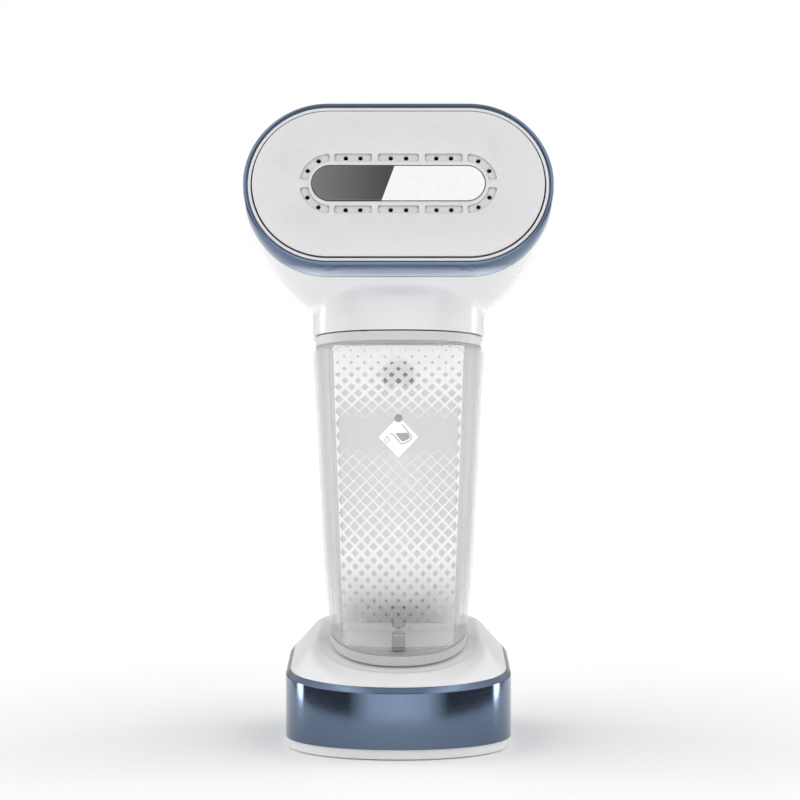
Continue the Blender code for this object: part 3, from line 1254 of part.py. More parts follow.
def build_hoses():
    pump_end = PUMP_Y + PUMP_LENGTH / 2 + 6 * MM
    inlet = PUMP_Y - PUMP_LENGTH / 2
    middle_y = (SPINE_FRONT_Y + SPINE_BACK_Y) / 2
    behind = SPINE_FRONT_Y + WALL + 8 * MM
    tube("pump_inlet_hose",
         [(0, inlet - 1.0 * MM, PUMP_Z),
          (2 * MM, inlet - 7 * MM, PUMP_Z + 1 * MM),
          (12 * MM, inlet - 7 * MM, PUMP_Z + 4 * MM),
          (19 * MM, PUMP_Y - 8 * MM, PUMP_Z + 6 * MM),
          (17 * MM, middle_y - 6 * MM, PUMP_Z + 10 * MM),
          (9 * MM, middle_y + 2 * MM, SPINE_FOOT_Z + 4 * MM),
          (4.5 * MM, behind - 0.5 * MM, VALVE_Z - 8 * MM)],
         HOSE_RADIUS - 0.4 * MM, "grey_rubber", 1, 3)
    port = head_point(FEED_PORT[0], FEED_PORT[1], CHAMBER_BACK - 0.4 * MM)
    away = head_point(FEED_PORT[0], FEED_PORT[1], CHAMBER_BACK - 10 * MM)
    tube("steam_feed_hose",
         [(0, pump_end + 1 * MM, PUMP_Z),
          (0, pump_end + 7 * MM, PUMP_Z + 2 * MM),
          (-8 * MM, middle_y, PUMP_Z + 14 * MM),
          (-13 * MM, middle_y, SPINE_FOOT_Z + 14 * MM),
          (-14 * MM, middle_y, (SPINE_FOOT_Z + SPINE_TOP_Z) / 2),
          (-16 * MM, middle_y, SPINE_TOP_Z - 6 * MM),
          (-22 * MM, middle_y, SPINE_TOP_Z + 22 * MM),
          (-34 * MM, middle_y + 2 * MM, away.z - 8 * MM),
          away,
          port],
         HOSE_RADIUS, "grey_rubber", 1, 3)


def build_electrics():
    board_y, thickness = BOARD_Y, BOARD_SIZE[2]
    floor = BASE_FLOOR_Z + BOARD_STANDOFF
    board = box("control_board", BOARD_SIZE, (0, board_y, floor), "board_green")
    for number, (x, y) in enumerate(((-19, -12), (19, -12), (-19, 12), (19, 12)), 1):
        post = cylinder(f"board_post_{number}", 2 * MM, BOARD_STANDOFF - thickness / 2 - GAP,
                        (x * MM, board_y + y * MM, BASE_FLOOR_Z + 0.5 * MM), segments=8)
        boolean(board, post, "UNION")
    relay_z = floor + thickness / 2 + GAP + RELAY_SIZE[2] / 2
    box("board_relay", RELAY_SIZE, (-10 * MM, board_y, relay_z), "black_plastic")
    back = lambda z: grip_y(z) + 6.5 * MM
    top, top_way = sweep_point(0.92)
    bend, _ = sweep_point(0.6)
    behind = top + Vector((0, -top_way.z, top_way.y)) * 8.5 * MM
    start_z = floor + thickness / 2 + 3 * GAP
    tube("wiring_loom", [(13 * MM, board_y + 6 * MM, start_z), (12 * MM, board_y + 8 * MM,
                                                                start_z + 8 * MM),
                         (5 * MM, back(DECK_TOP_Z) - 6 * MM, 40 * MM), (0, back(80 * MM), 80 * MM),
                         (0, back(130 * MM) + 3 * MM, 130 * MM), (0, GRIP_TOP_Y + 8.2 * MM, 182 * MM),
                         behind, (0, bend.y, bend.z - 8 * MM),
                         (4 * MM, 8 * MM, HEAD_Z - 26 * MM), (12 * MM, -4 * MM, HEAD_Z - 20 * MM)],
         2.2 * MM, "black_plastic", 1, 3)


# ---------------------------------------------------------------- assembly
def build():
    head_axis = bpy.data.objects.new("head_axis", None)
    PARTS.objects.link(head_axis)
    head_axis.location = (0, HEAD_Y, HEAD_Z)
    head_axis.rotation_euler = (math.pi / 2 - HEAD_TILT, 0, 0)
    build_head_front(head_axis)
    build_steam_chamber(head_axis)
    build_chamber_fittings(head_axis)
    build_head_shell()
    build_spine()
    build_dock_pad()
    build_grip()
    build_trigger()
    build_trigger_bracket()
    build_trigger_spring()
    build_switches()
    build_slider()
    build_tank()
    build_plug()
    build_valve()
    build_base_shell()
    build_trim_band()
    build_base_plate()
    build_base_fittings()
    build_pump()
    build_hoses()
    build_electrics()


build()
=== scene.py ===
"""Looks of the standing garment steamer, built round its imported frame."""

import json
import math

import bmesh
import bpy
from mathutils import Matrix, Vector


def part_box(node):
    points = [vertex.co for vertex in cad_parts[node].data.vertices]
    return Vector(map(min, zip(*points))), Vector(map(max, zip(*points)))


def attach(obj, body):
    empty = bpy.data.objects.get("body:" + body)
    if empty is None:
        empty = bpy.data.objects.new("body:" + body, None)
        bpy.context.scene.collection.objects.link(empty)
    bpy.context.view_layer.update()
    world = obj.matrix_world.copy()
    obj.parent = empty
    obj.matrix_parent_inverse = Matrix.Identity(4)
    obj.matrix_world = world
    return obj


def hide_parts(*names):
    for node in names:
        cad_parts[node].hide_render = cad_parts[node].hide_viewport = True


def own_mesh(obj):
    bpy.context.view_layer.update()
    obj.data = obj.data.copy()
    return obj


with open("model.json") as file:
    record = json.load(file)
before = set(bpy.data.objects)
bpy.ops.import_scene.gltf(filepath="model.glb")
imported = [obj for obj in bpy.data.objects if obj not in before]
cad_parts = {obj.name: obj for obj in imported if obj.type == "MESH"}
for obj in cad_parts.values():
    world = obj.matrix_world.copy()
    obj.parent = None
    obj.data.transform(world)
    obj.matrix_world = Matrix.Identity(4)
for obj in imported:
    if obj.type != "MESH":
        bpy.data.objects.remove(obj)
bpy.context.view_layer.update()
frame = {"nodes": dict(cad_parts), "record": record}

MM = 0.001
GAP = 0.3 * MM
SHELL_WALL = 2.2 * MM
BUTTON_RADIUS, BUTTON_AT = 7 * MM, 0.56  # place along the body's sweep
LENS_RADIUS, LENS_AT = 2 * MM, 0.43

# ---------------------------------------------------------------- sizes, shared with the frame
_, RING_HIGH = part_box("head_trim_ring")
HEAD_FLAT = 33.6 * MM
HEAD_RADIUS = RING_HIGH.x - HEAD_FLAT
HEAD_TILT = math.radians(15.3)
HEAD_Y, HEAD_Z = -60 * MM, 273.7 * MM
RING_WALL = 2.1 * MM
RING_DEPTH = 19 * MM
BEZEL_WALL, BEZEL_DEPTH = 1.6 * MM, 12 * MM
RING_ROUND = 0.6 * MM
PLATE_GROOVE = 0.7 * MM
PLATE_RADIUS = HEAD_RADIUS - RING_WALL - BEZEL_WALL - PLATE_GROOVE
PLATE_PROUD = 0.6 * MM
PLATE_THICKNESS = 3.2 * MM
POCKET_FLAT, POCKET_RADIUS, POCKET_WIDTH = 32.2 * MM, 12.95 * MM, 4.1 * MM
POCKET_DEPTH = 1.5 * MM
POCKET_CORNER = 1.1 * MM
HOLE_RADIUS = 1.15 * MM
# middle, length and hole pitch in mm
STRAIGHT_POCKETS = ((-21.6, 18.0, 7.0), (0.0, 19.6, 7.3), (21.6, 18.0, 7.0))
CORNER_POCKET_DEG = (3.0, 82.0)
CORNER_HOLES_DEG = (27.0, 59.0)
BADGE_FLAT, BADGE_RADIUS = 32.5 * MM, 8.6 * MM
BADGE_GROOVE, BADGE_SEAT_DEPTH = 0.5 * MM, 2.4 * MM
BADGE_DEPTH, BADGE_PROUD = 0.9 * MM, 0.4 * MM

FOOT_LOW, FOOT_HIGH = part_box("base_trim_band")
FRONT_Y, FOOT_BACK_Y = FOOT_LOW.y, FOOT_HIGH.y
FOOT_HALF_WIDTH = FOOT_HIGH.x
BACK_Y = FOOT_BACK_Y + 3 * MM
FOOT_NOSE, FOOT_TAIL = 49 * MM, 50 * MM
FOOT_NOSE_POWER, FOOT_TAIL_POWER = 2.1, 2.2
BAND_BOTTOM_Z, BAND_FRONT_Z, BAND_RISE = FOOT_LOW.z, 32 * MM, 0.079
BAND_CHAMFER, BAND_CHAMFER_INSET = 2.7 * MM, 2.2 * MM
BAND_WALL, BAND_LIP = 1.6 * MM, 1.5 * MM
GLAND_HOLE_RADIUS = 6.8 * MM
FOOT_PLATE_INSET = 1.2 * MM
FOOT_WELL_RADIUS, SCREW_WELL_RADIUS = 6.3 * MM, 3.1 * MM
DECK_SLOPE, DECK_TOP_Z, DECK_BLEND = 0.33, 57 * MM, 3 * MM
DECK_MIDDLE_Y = -4 * MM
DISH_DEPTH, DISH_REACH, DISH_EDGE = 0.9 * MM, 4.2 * MM, 1.6 * MM

COLUMN_FRONT_Y = FRONT_Y + 23 * MM
COLUMN_NOSE, COLUMN_POWER = 33 * MM, 2.3
NECK_HALF_WIDTH, NECK_TOP_Z = 41.9 * MM, 236 * MM
TANK_TOP_Z, TANK_TOP_SLOPE = 204 * MM, 0.127
TANK_HALF_TOP, TANK_HALF_BOTTOM = 41.0 * MM, 33.2 * MM
TANK_DEPTH, TANK_WALL, TANK_CAP = 40 * MM, 1.8 * MM, 4.4 * MM
TANK_SEAT_GAP, TANK_BACK_THICKNESS, TANK_FLANGE = 0.6 * MM, 3.2 * MM, 1.7 * MM
SPINE_DEPTH = 14.5 * MM

GRIP_HALF_WIDTH, GRIP_HALF_DEPTH = 18 * MM, 17.5 * MM
GRIP_TOP_Y, GRIP_TOP_Z = BACK_Y - GRIP_HALF_DEPTH, 198 * MM
GRIP_LEAN, GRIP_FLARE = 10.5 * MM, 5 * MM
HEAD_CHIN, HEAD_REACH, GRIP_REACH = 14.5 * MM, 62 * MM, 46 * MM
SHELL_SPLIT = 0.88
SEAM_TURN = 0.012  # radians, half the seam between the grip's halves
SLIDER_SLOT = (5.2 * MM, 14 * MM, 14.5 * MM)
SHELL_VOXEL, SHELL_RELAXING = 1.1 * MM, 30


# ---------------------------------------------------------------- node helpers
class Nodes:
    """Small wrapper that makes a material's node tree readable."""

    def __init__(self, name):
        self.material = bpy.data.materials.new(name)
        self.material.use_nodes = True
        self.tree = self.material.node_tree
        self.shader = self.tree.nodes["Principled BSDF"]
        self.output = self.tree.nodes["Material Output"]
        self.coords = self.add("ShaderNodeTexCoord").outputs["Object"]

    def add(self, kind, **settings):
        node = self.tree.nodes.new(kind)
        for key, value in settings.items():
            setattr(node, key, value)
        return node

    def link(self, source, target):
        self.tree.links.new(source, target)

    def set(self, **values):
        """Sets sockets of the shader by their names, with _ for a space."""
        for key, value in values.items():
            self.shader.inputs[key.replace("_", " ")].default_value = value

    def noise(self, scale, detail=3.0, stretch=(1, 1, 1), roughness=0.5):
        mapping = self.add("ShaderNodeMapping")
        mapping.inputs["Scale"].default_value = stretch
        self.link(self.coords, mapping.inputs["Vector"])
        node = self.add("ShaderNodeTexNoise")
        node.inputs["Scale"].default_value = scale
        node.inputs["Detail"].default_value = detail
        node.inputs["Roughness"].default_value = roughness
        self.link(mapping.outputs["Vector"], node.inputs["Vector"])
        return node.outputs["Fac"]

    def ramp(self, source, *stops):
        """Colour ramp: each stop is (place, grey or colour)."""
        node = self.add("ShaderNodeValToRGB")
        elements = node.color_ramp.elements
        while len(elements) < len(stops):
            elements.new(0.5)
        for element, (place, value) in zip(elements, stops):
            element.position = place
            element.color = (value, value, value, 1) if isinstance(value, float) else (*value, 1)
        self.link(source, node.inputs["Fac"])
        return node.outputs["Color"]

    def math(self, operation, first, second=0.0, third=0.0):
        node = self.add("ShaderNodeMath", operation=operation)
        for socket, value in zip(node.inputs, (first, second, third)):
            if isinstance(value, (int, float)):
                socket.default_value = value
            else:
                self.link(value, socket)
        return node.outputs["Value"]

    def axis(self, name):
        node = self.add("ShaderNodeSeparateXYZ")
        self.link(self.coords, node.inputs["Vector"])
        return node.outputs[name]

    def bump(self, height, distance, strength=1.0):
        node = self.add("ShaderNodeBump")
        node.inputs["Distance"].default_value = distance
        node.inputs["Strength"].default_value = strength
        self.link(height, node.inputs["Height"])
        self.link(node.outputs["Normal"], self.shader.inputs["Normal"])

    def colour(self, source):
        self.link(source, self.shader.inputs["Base Color"])

    def roughness(self, source):
        self.link(source, self.shader.inputs["Roughness"])


def around(value, spread):
    """Two colours a little darker and lighter than one."""
    if isinstance(value, float):
        return value - spread, value + spread
    return tuple(v * (1 - spread) for v in value), tuple(min(1.0, v * (1 + spread)) for v in value)


def moulded_plastic(name, colour, rough, grain=900.0, depth=0.00002, spread=0.02, coat=0.0):
    """Injection-moulded plastic: faint cloudy colour, uneven gloss and a fine skin texture."""
    nodes = Nodes(name)
    low, high = around(colour, spread)
    nodes.colour(nodes.ramp(nodes.noise(35.0, 2.0), (0.3, low), (0.7, high)))
    nodes.roughness(nodes.ramp(nodes.noise(60.0, 2.0), (0.3, rough - 0.015), (0.7, rough + 0.02)))
    nodes.bump(nodes.noise(grain, 2.0), depth)
    nodes.set(Coat_Weight=coat, Coat_Roughness=0.05, Specular_IOR_Level=0.5)
    return nodes.material


def metallic_paint(name, colour, rough, draft=0.0, coat=0.0, underside_sheen=None):
    """Satin metallic coat: fine flakes over a brushed undertone.

    It is shaded as if its face leaned by draft. A paler colour, painted where the face turns down, is a
    painted sheen.
    """
    nodes = Nodes(name)
    flakes = nodes.noise(2600.0, 1.0)
    low, high = around(colour, 0.10)
    body = nodes.ramp(flakes, (0.35, low), (0.65, high))
    # painted sheen: a paler colour where the face turns down
    if underside_sheen:
        facing = nodes.add("ShaderNodeSeparateXYZ")
        nodes.link(nodes.add("ShaderNodeNewGeometry").outputs["Normal"], facing.inputs["Vector"])
        down = nodes.math("MULTIPLY", facing.outputs["Z"], -1.0)
        mix = nodes.add("ShaderNodeMix", data_type="RGBA")
        nodes.link(nodes.ramp(down, (0.82, 0.0), (0.96, 1.0)), mix.inputs["Factor"])
        nodes.link(body, mix.inputs[6])
        mix.inputs[7].default_value = (*underside_sheen, 1.0)
        body = mix.outputs[2]
    nodes.colour(body)
    nodes.roughness(nodes.ramp(nodes.noise(300.0, 3.0, (1, 1, 8)), (0.3, rough - 0.03),
                               (0.7, rough + 0.04)))
    slope = nodes.math("MULTIPLY", nodes.axis("Z"), -draft)
    nodes.bump(nodes.math("MULTIPLY_ADD", flakes, 0.000006, slope), 1.0)
    if draft:
        tangent = nodes.add("ShaderNodeTangent", direction_type="RADIAL", axis="Z")
        nodes.link(tangent.outputs["Tangent"], nodes.shader.inputs["Tangent"])
        nodes.set(Anisotropic=0.8, Anisotropic_Rotation=0.25)
    nodes.set(Metallic=0.92, Coat_Weight=coat, Coat_Roughness=0.12)
    return nodes.material


def plate_coating():
    """Satin ceramic coat on the steam plate, with a fine speckle and painted shade darkening its creases
    and pockets.
    """
    nodes = Nodes("plate_coating_satin")
    speckle = nodes.noise(1500.0, 2.0, roughness=0.7)
    coat = nodes.ramp(speckle, (0.32, (0.71, 0.71, 0.72)), (0.68, (0.78, 0.78, 0.79)))
    # painted shade: ambient occlusion darkens the coat in its creases, pockets and holes
    painted_crease_shade = nodes.add("ShaderNodeAmbientOcclusion", samples=6)
    painted_crease_shade.inputs["Distance"].default_value = 1.6 * MM
    mix = nodes.add("ShaderNodeMix", data_type="RGBA", blend_type="MULTIPLY")
    mix.inputs["Factor"].default_value = 1.0
    nodes.link(coat, mix.inputs[6])
    nodes.link(nodes.ramp(painted_crease_shade.outputs["AO"], (0.35, 0.25), (0.8, 1.0)), mix.inputs[7])
    nodes.colour(mix.outputs[2])
    nodes.roughness(nodes.ramp(nodes.noise(60.0, 4.0), (0.3, 0.42), (0.7, 0.52)))
    nodes.bump(speckle, 0.00003)
    nodes.set(Metallic=0.25)
    return nodes.material


def badge_finish():
    """Mirror insert with a painted reflection: a dark half and a bright half that meet on a slanted
    line.
    """
    nodes = Nodes("badge_painted_reflection")
    # painted reflection: a dark half on the left, lightest at its left end, and a bright half on the
    # right
    slant, offset = 0.37, -5.0 * MM
    height = nodes.math("SUBTRACT", nodes.axis("Z"), HEAD_Z)
    edge = nodes.math("MULTIPLY_ADD", height, slant, offset)
    side = nodes.math("GREATER_THAN", nodes.axis("X"), edge)
    along = nodes.math("MULTIPLY_ADD", nodes.axis("X"), 12.0, 0.5)
    painted_dark_reflection = nodes.ramp(along, (0.0, (0.19, 0.19, 0.195)), (0.42, (0.07, 0.07, 0.073)))
    mix = nodes.add("ShaderNodeMix", data_type="RGBA")
    nodes.link(side, mix.inputs["Factor"])
    nodes.link(painted_dark_reflection, mix.inputs[6])
    painted_bright_reflection = nodes.ramp(nodes.noise(500.0, 2.0), (0.3, (0.93, 0.93, 0.935)), (0.7, (0.97, 0.97, 0.97)))
    nodes.link(painted_bright_reflection, mix.inputs[7])
    nodes.colour(mix.outputs[2])
    nodes.roughness(nodes.ramp(nodes.noise(220.0, 3.0), (0.3, 0.12), (0.7, 0.2)))
    nodes.set(Metallic=0.0, Coat_Weight=0.8, Coat_Roughness=0.03)
    return nodes.material


def clear_plastic():
    """Clear tank wall: see-through face on, milky towards its edges, with slight moulding waves; its
    colour darkens towards those edges as painted shade.
    """
    nodes = Nodes("clear_tank_wall")
    nodes.roughness(nodes.ramp(nodes.noise(90.0, 2.0), (0.3, 0.04), (0.7, 0.1)))
    nodes.bump(nodes.noise(45.0, 1.0, (1, 1, 0.25)), 0.00005)
    facing = nodes.add("ShaderNodeLayerWeight")
    facing.inputs["Blend"].default_value = 0.5
    # painted shade: the colour darkens from near white face on to dark grey where the wall turns edge-on
    # to the eye
    nodes.colour(nodes.ramp(facing.outputs["Facing"], (0.0, 0.92), (0.5, 0.60), (0.88, 0.38),
                            (1.0, 0.22)))
    nodes.link(nodes.ramp(facing.outputs["Facing"], (0.0, 0.03), (0.18, 0.10), (0.45, 0.30),
                          (0.8, 0.5), (1.0, 0.9)),
               nodes.shader.inputs["Alpha"])
    return nodes.material


LOW_FADE_Z = (66 * MM, 94 * MM)


def frosted_plastic(name, alpha, grey=0.86, painted_glow=0.0, low_alpha=None):
    """Milky textured plastic, see-through to a share, and to another share low down if one is given; any
    emission it is given is painted light, as it is no lamp.
    """
    nodes = Nodes(name)
    grain = nodes.noise(1800.0, 2.0)
    nodes.colour(nodes.ramp(grain, (0.3, grey - 0.04), (0.7, grey + 0.03)))
    nodes.roughness(nodes.ramp(nodes.noise(200.0, 3.0), (0.3, 0.35), (0.7, 0.5)))
    nodes.bump(grain, 0.00004)
    # any emission here is painted light
    nodes.set(Alpha=alpha, Emission_Strength=painted_glow)
    if low_alpha is not None:
        fade = nodes.ramp(nodes.axis("Z"), (LOW_FADE_Z[0], low_alpha), (LOW_FADE_Z[1], alpha))
        nodes.link(fade, nodes.shader.inputs["Alpha"])
    nodes.shader.inputs["Emission Color"].default_value = (1, 1, 1, 1)
    return nodes.material


def dock_rubber():
    """Soft dark pad, blotched and paler towards its edges as it shows through the frosted wall."""
    nodes = Nodes("dock_pad_rubber")
    low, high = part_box("dock_pad")
    middle = nodes.math("DIVIDE", nodes.math("ABSOLUTE", nodes.axis("X")), high.x)
    rise = nodes.math("DIVIDE", nodes.math("SUBTRACT", nodes.axis("Z"), low.z), high.z - low.z)
    edge = nodes.math("MAXIMUM", middle, rise)
    blotch = nodes.math("MULTIPLY_ADD", nodes.noise(95.0, 2.0), 0.9, -0.45)
    shade = nodes.math("ADD", edge, blotch)
    nodes.colour(nodes.ramp(shade, (0.25, 0.17), (0.62, 0.28), (1.05, 0.72)))
    nodes.roughness(nodes.ramp(blotch, (0.3, 0.65), (0.7, 0.8)))
    return nodes.material


def worn_metal(name, colour, rough, stretch=(1, 1, 1)):
    nodes = Nodes(name)
    low, high = around(colour, 0.06)
    nodes.colour(nodes.ramp(nodes.noise(90.0, 4.0, stretch), (0.3, low), (0.7, high)))
    nodes.roughness(nodes.ramp(nodes.noise(250.0, 4.0, stretch), (0.3, rough - 0.08),
                               (0.7, rough + 0.1)))
    nodes.bump(nodes.noise(700.0, 2.0, stretch), 0.00003)
    nodes.set(Metallic=1.0)
    return nodes.material


MATERIALS = {
    "white_plastic": moulded_plastic("white_gloss_shell", (0.80, 0.80, 0.805), 0.24, coat=0.25),
    # the head ring is painted paler where it faces down: a painted sheen
    "blue_trim": metallic_paint("blue_metallic_trim", (0.13, 0.18, 0.265), 0.13, coat=0.1,
                                underside_sheen=(0.60, 0.70, 0.84)),
    "plate_coating": plate_coating(),
    "badge_chrome": badge_finish(),
    "clear_tank": clear_plastic(),
    "frosted_tank": frosted_plastic("frosted_tank_trim", 0.86, 0.74),
    "grey_rubber": moulded_plastic("grey_rubber_matte", (0.30, 0.30, 0.305), 0.68, 500.0, 0.00006),
    "grey_plastic": moulded_plastic("grey_plastic_matte", (0.36, 0.365, 0.375), 0.42),
    "aluminium": worn_metal("cast_aluminium", (0.66, 0.66, 0.67), 0.42),
    "steel": worn_metal("turned_steel", (0.55, 0.55, 0.56), 0.3, (1, 6, 1)),
    "board_green": moulded_plastic("solder_mask_green", (0.04, 0.19, 0.10), 0.45),
    "black_plastic": moulded_plastic("black_plastic_matte", (0.03, 0.03, 0.033), 0.45),
    "lamp_lens": moulded_plastic("lamp_lens_tinted", (0.45, 0.66, 0.86), 0.15, coat=0.5),
}
FOOT_CAP_MATERIAL = frosted_plastic("frosted_tank_foot", 0.8, 0.64)
# emission on the tank's back: painted light
TANK_BACK_MATERIAL = frosted_plastic("frosted_tank_back", 0.6, 0.88, 0.1, 0.1)
BAND_MATERIAL = metallic_paint("blue_brushed_band", (0.12, 0.162, 0.238), 0.11, 0.1)
# emission on the print: painted light
PRINT_MATERIAL = frosted_plastic("printed_white_ink", 0.42, 0.96, 0.34, 0.16)
PLUG_MATERIAL = moulded_plastic("filler_plug_rubber", (0.30, 0.30, 0.303), 0.6, 500.0, 0.00005)
INTAKE_MATERIAL = moulded_plastic("intake_dark_plastic", (0.10, 0.10, 0.105), 0.5)
# emission on the fill mark's white field: painted light
FIELD_MATERIAL = frosted_plastic("printed_white_field", 0.85, 0.96, 0.15)
# grey lines: painted shade of the panel's stepped edges
PANEL_EDGE_SHADE_MATERIAL = frosted_plastic("panel_edge_painted_shade", 0.5, 0.5)
ICON_MATERIAL = moulded_plastic("printed_grey_ink", (0.42, 0.42, 0.43), 0.45, 1400.0, 0.00001)
DOT_MATERIAL = moulded_plastic("vent_grey", (0.36, 0.36, 0.37), 0.5)


# ---------------------------------------------------------------- mesh helpers
def mesh_object(name, mesh, material):
    obj = bpy.data.objects.new(name, mesh)
    bpy.context.scene.collection.objects.link(obj)
    if material is not None:
        mesh.materials.clear()
        mesh.materials.append(material)
    return obj


def loft_mesh(name, rings, closed=True, capped=False):
    """Quads between rings of points, with n-gons over the first and last where capped."""
    bm = bmesh.new()
    rows = [[bm.verts.new(point) for point in ring] for ring in rings]
    count = len(rows[0])
    for lower, upper in zip(rows, rows[1:]):
        for i in range(count if closed else count - 1):
            j = (i + 1) % count
            bm.faces.new((lower[i], lower[j], upper[j], upper[i]))
    if capped:
        bm.faces.new(list(reversed(rows[0])))
        bm.faces.new(rows[-1])
    bmesh.ops.remove_doubles(bm, verts=bm.verts, dist=0.000005)
    bmesh.ops.recalc_face_normals(bm, faces=bm.faces)
    mesh = bpy.data.meshes.new(name)
    bm.to_mesh(mesh)
    bm.free()
    return mesh


def modify(obj, kind, **settings):
    modifier = obj.modifiers.new(kind.title(), kind)
    for key, value in settings.items():
        setattr(modifier, key, value)
    return modifier


def round_edges(obj, width, segments=3, degrees=35):
    modify(obj, "BEVEL", width=width, segments=segments, limit_method="ANGLE",
           angle_limit=math.radians(degrees), use_clamp_overlap=True, harden_normals=False)


def smooth(obj, degrees=35):
    obj.data.shade_smooth()
    obj.data.set_sharp_from_angle(angle=math.radians(degrees))


def evaluated(obj):
    """The object's mesh with its modifiers applied; the modifiers are dropped."""
    mesh = bpy.data.meshes.new_from_object(obj.evaluated_get(bpy.context.evaluated_depsgraph_get()))
    obj.modifiers.clear()
    obj.data = mesh


def cut(obj, cutter):
    """Cuts one mesh object out of another for good and removes the cutter."""
    modify(obj, "BOOLEAN", object=cutter, operation="DIFFERENCE", solver="EXACT")
    evaluated(obj)
    bpy.data.objects.remove(cutter)


def settle(obj, body, slot, *nodes):
    """Puts a finished piece on its body, in place of CAD nodes."""
    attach(obj, body)
    if nodes:
        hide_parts(*nodes)
    return obj


def cylinder_object(name, radius, depth, start, way, material=None, segments=32):
    bm = bmesh.new()
    bmesh.ops.create_cone(bm, cap_ends=True, segments=segments, radius1=radius, radius2=radius,
                          depth=depth)
    bmesh.ops.translate(bm, verts=bm.verts, vec=(0, 0, depth / 2))
    turn = Vector(way).normalized().to_track_quat("Z", "Y").to_matrix().to_4x4()
    bmesh.ops.transform(bm, matrix=Matrix.Translation(start) @ turn, verts=bm.verts)
    mesh = bpy.data.meshes.new(name)
    bm.to_mesh(mesh)
    bm.free()
    return mesh_object(name, mesh, material)


# ---------------------------------------------------------------- outlines and surfaces
def stadium(flat, radius, steps=48):
    right = [(flat + radius * math.cos(a), radius * math.sin(a))
             for a in (math.pi * (k / steps - 0.5) for k in range(steps + 1))]
    return right + [(-x, -y) for x, y in right]


def power_arc(half_width, depth, power, steps):
    points = []
    for k in range(steps + 1):
        angle = math.pi * k / steps
        c, s = math.cos(angle), math.sin(angle)
        points.append((half_width * math.copysign(abs(c) ** (2 / power), c),
                       depth * abs(s) ** (2 / power)))
    return points


def foot_outline(inset, steps=80):
    half = FOOT_HALF_WIDTH - inset
    nose_y, tail_y = FRONT_Y + FOOT_NOSE, FOOT_BACK_Y - FOOT_TAIL
    front = [(-x, nose_y - d) for x, d in power_arc(half, FOOT_NOSE - inset, FOOT_NOSE_POWER, steps)]
    back = [(x, tail_y + d) for x, d in power_arc(half, FOOT_TAIL - inset, FOOT_TAIL_POWER, steps)]
    return front + back


def head_point(x, up, out):
    s, c = math.sin(HEAD_TILT), math.cos(HEAD_TILT)
    return Vector((x, HEAD_Y + up * s - out * c, HEAD_Z + up * c + out * s))


HEAD_OUT = Vector((0, -math.cos(HEAD_TILT), math.sin(HEAD_TILT)))


def neck_plane_z(y):
    return TANK_TOP_Z - TANK_TOP_SLOPE * (y - COLUMN_FRONT_Y)


def deck_edge_z(y):
    return BAND_FRONT_Z + BAND_CHAMFER + BAND_RISE * (y - FRONT_Y)


def deck_plane_z(y):
    front = FRONT_Y + BAND_CHAMFER_INSET
    return deck_edge_z(front) + DECK_SLOPE * (y - front)


def tank_floor_z(y):
    return deck_plane_z(y) + TANK_SEAT_GAP


def tank_half_width(z):
    low = deck_plane_z(COLUMN_FRONT_Y)
    return TANK_HALF_BOTTOM + (TANK_HALF_TOP - TANK_HALF_BOTTOM) * (z - low) / (TANK_TOP_Z - low)


def smoothstep(t):
    t = max(0.0, min(1.0, t))
    return t * t * (3 - 2 * t)


def grip_y(z):
    return GRIP_TOP_Y - GRIP_LEAN * (GRIP_TOP_Z - z) / (GRIP_TOP_Z - DECK_TOP_Z)


# ---------------------------------------------------------------- steam head
def head_band(name, profile, material, flat=HEAD_FLAT):
    """Closed band round the stadium from a loop of (radius, out) points."""
    rings = [[head_point(x, y, out) for x, y in stadium(flat, radius)] for radius, out in profile]
    obj = mesh_object(name, loft_mesh(name, [*rings, rings[0]]), material)
    round_edges(obj, 0.25 * MM, 2, 50)
    smooth(obj, 50)
    return obj


def head_block(name, outline, low, high, material=None):
    """Prism on the plate's plane, between two heights out of it."""
    rings = [[head_point(x, y, out) for x, y in outline] for out in (low, high)]
    return mesh_object(name, loft_mesh(name, rings, capped=True), material)


def rounded_box_outline(half_width, low, high, corner, steps=6):
    points = []
    for turn, (x, y) in enumerate(((half_width, high), (-half_width, high), (-half_width, low),
                                   (half_width, low))):
        cx, cy = x - math.copysign(corner, x), (y - corner if y == high else y + corner)
        for k in range(steps + 1):
            a = math.pi / 2 * (turn + k / steps)
            points.append((cx + corner * math.cos(a), cy + corner * math.sin(a)))
    return points


def closer_points(outline, step):
    """The outline with points added, so that no two neighbours are further apart than a step."""
    points = []
    for first, second in zip(outline, outline[1:] + outline[:1]):
        count = max(1, math.ceil(math.dist(first, second) / step))
        points += [tuple(a + (b - a) * k / count for a, b in zip(first, second)) for k in range(count)]
    return points


def corner_pocket(side_x, side_y):
    """Rounded box bent round one quarter of the badge's end."""
    start, end = (math.radians(90 - degrees) for degrees in CORNER_POCKET_DEG)
    middle, half_length = (start + end) / 2, (start - end) / 2 * POCKET_RADIUS
    points = []
    straight = rounded_box_outline(half_length, -POCKET_WIDTH / 2, POCKET_WIDTH / 2, POCKET_CORNER, 4)
    for along, out in closer_points(straight, 1.2 * MM):
        angle, radius = middle + along / POCKET_RADIUS, POCKET_RADIUS + out
        points.append((side_x * (POCKET_FLAT + radius * math.cos(angle)),
                       side_y * radius * math.sin(angle)))
    return points


def pocket_outlines():
    outlines = []
    for side in (-1, 1):
        centre = side * POCKET_RADIUS
        for middle, length, _ in STRAIGHT_POCKETS:
            low, high = centre - POCKET_WIDTH / 2, centre + POCKET_WIDTH / 2
            outlines.append([(middle * MM + x, y)
                             for x, y in rounded_box_outline(length * MM / 2, low, high,
                                                             POCKET_CORNER)])
        outlines += [corner_pocket(side_x, side) for side_x in (-1, 1)]
    return outlines


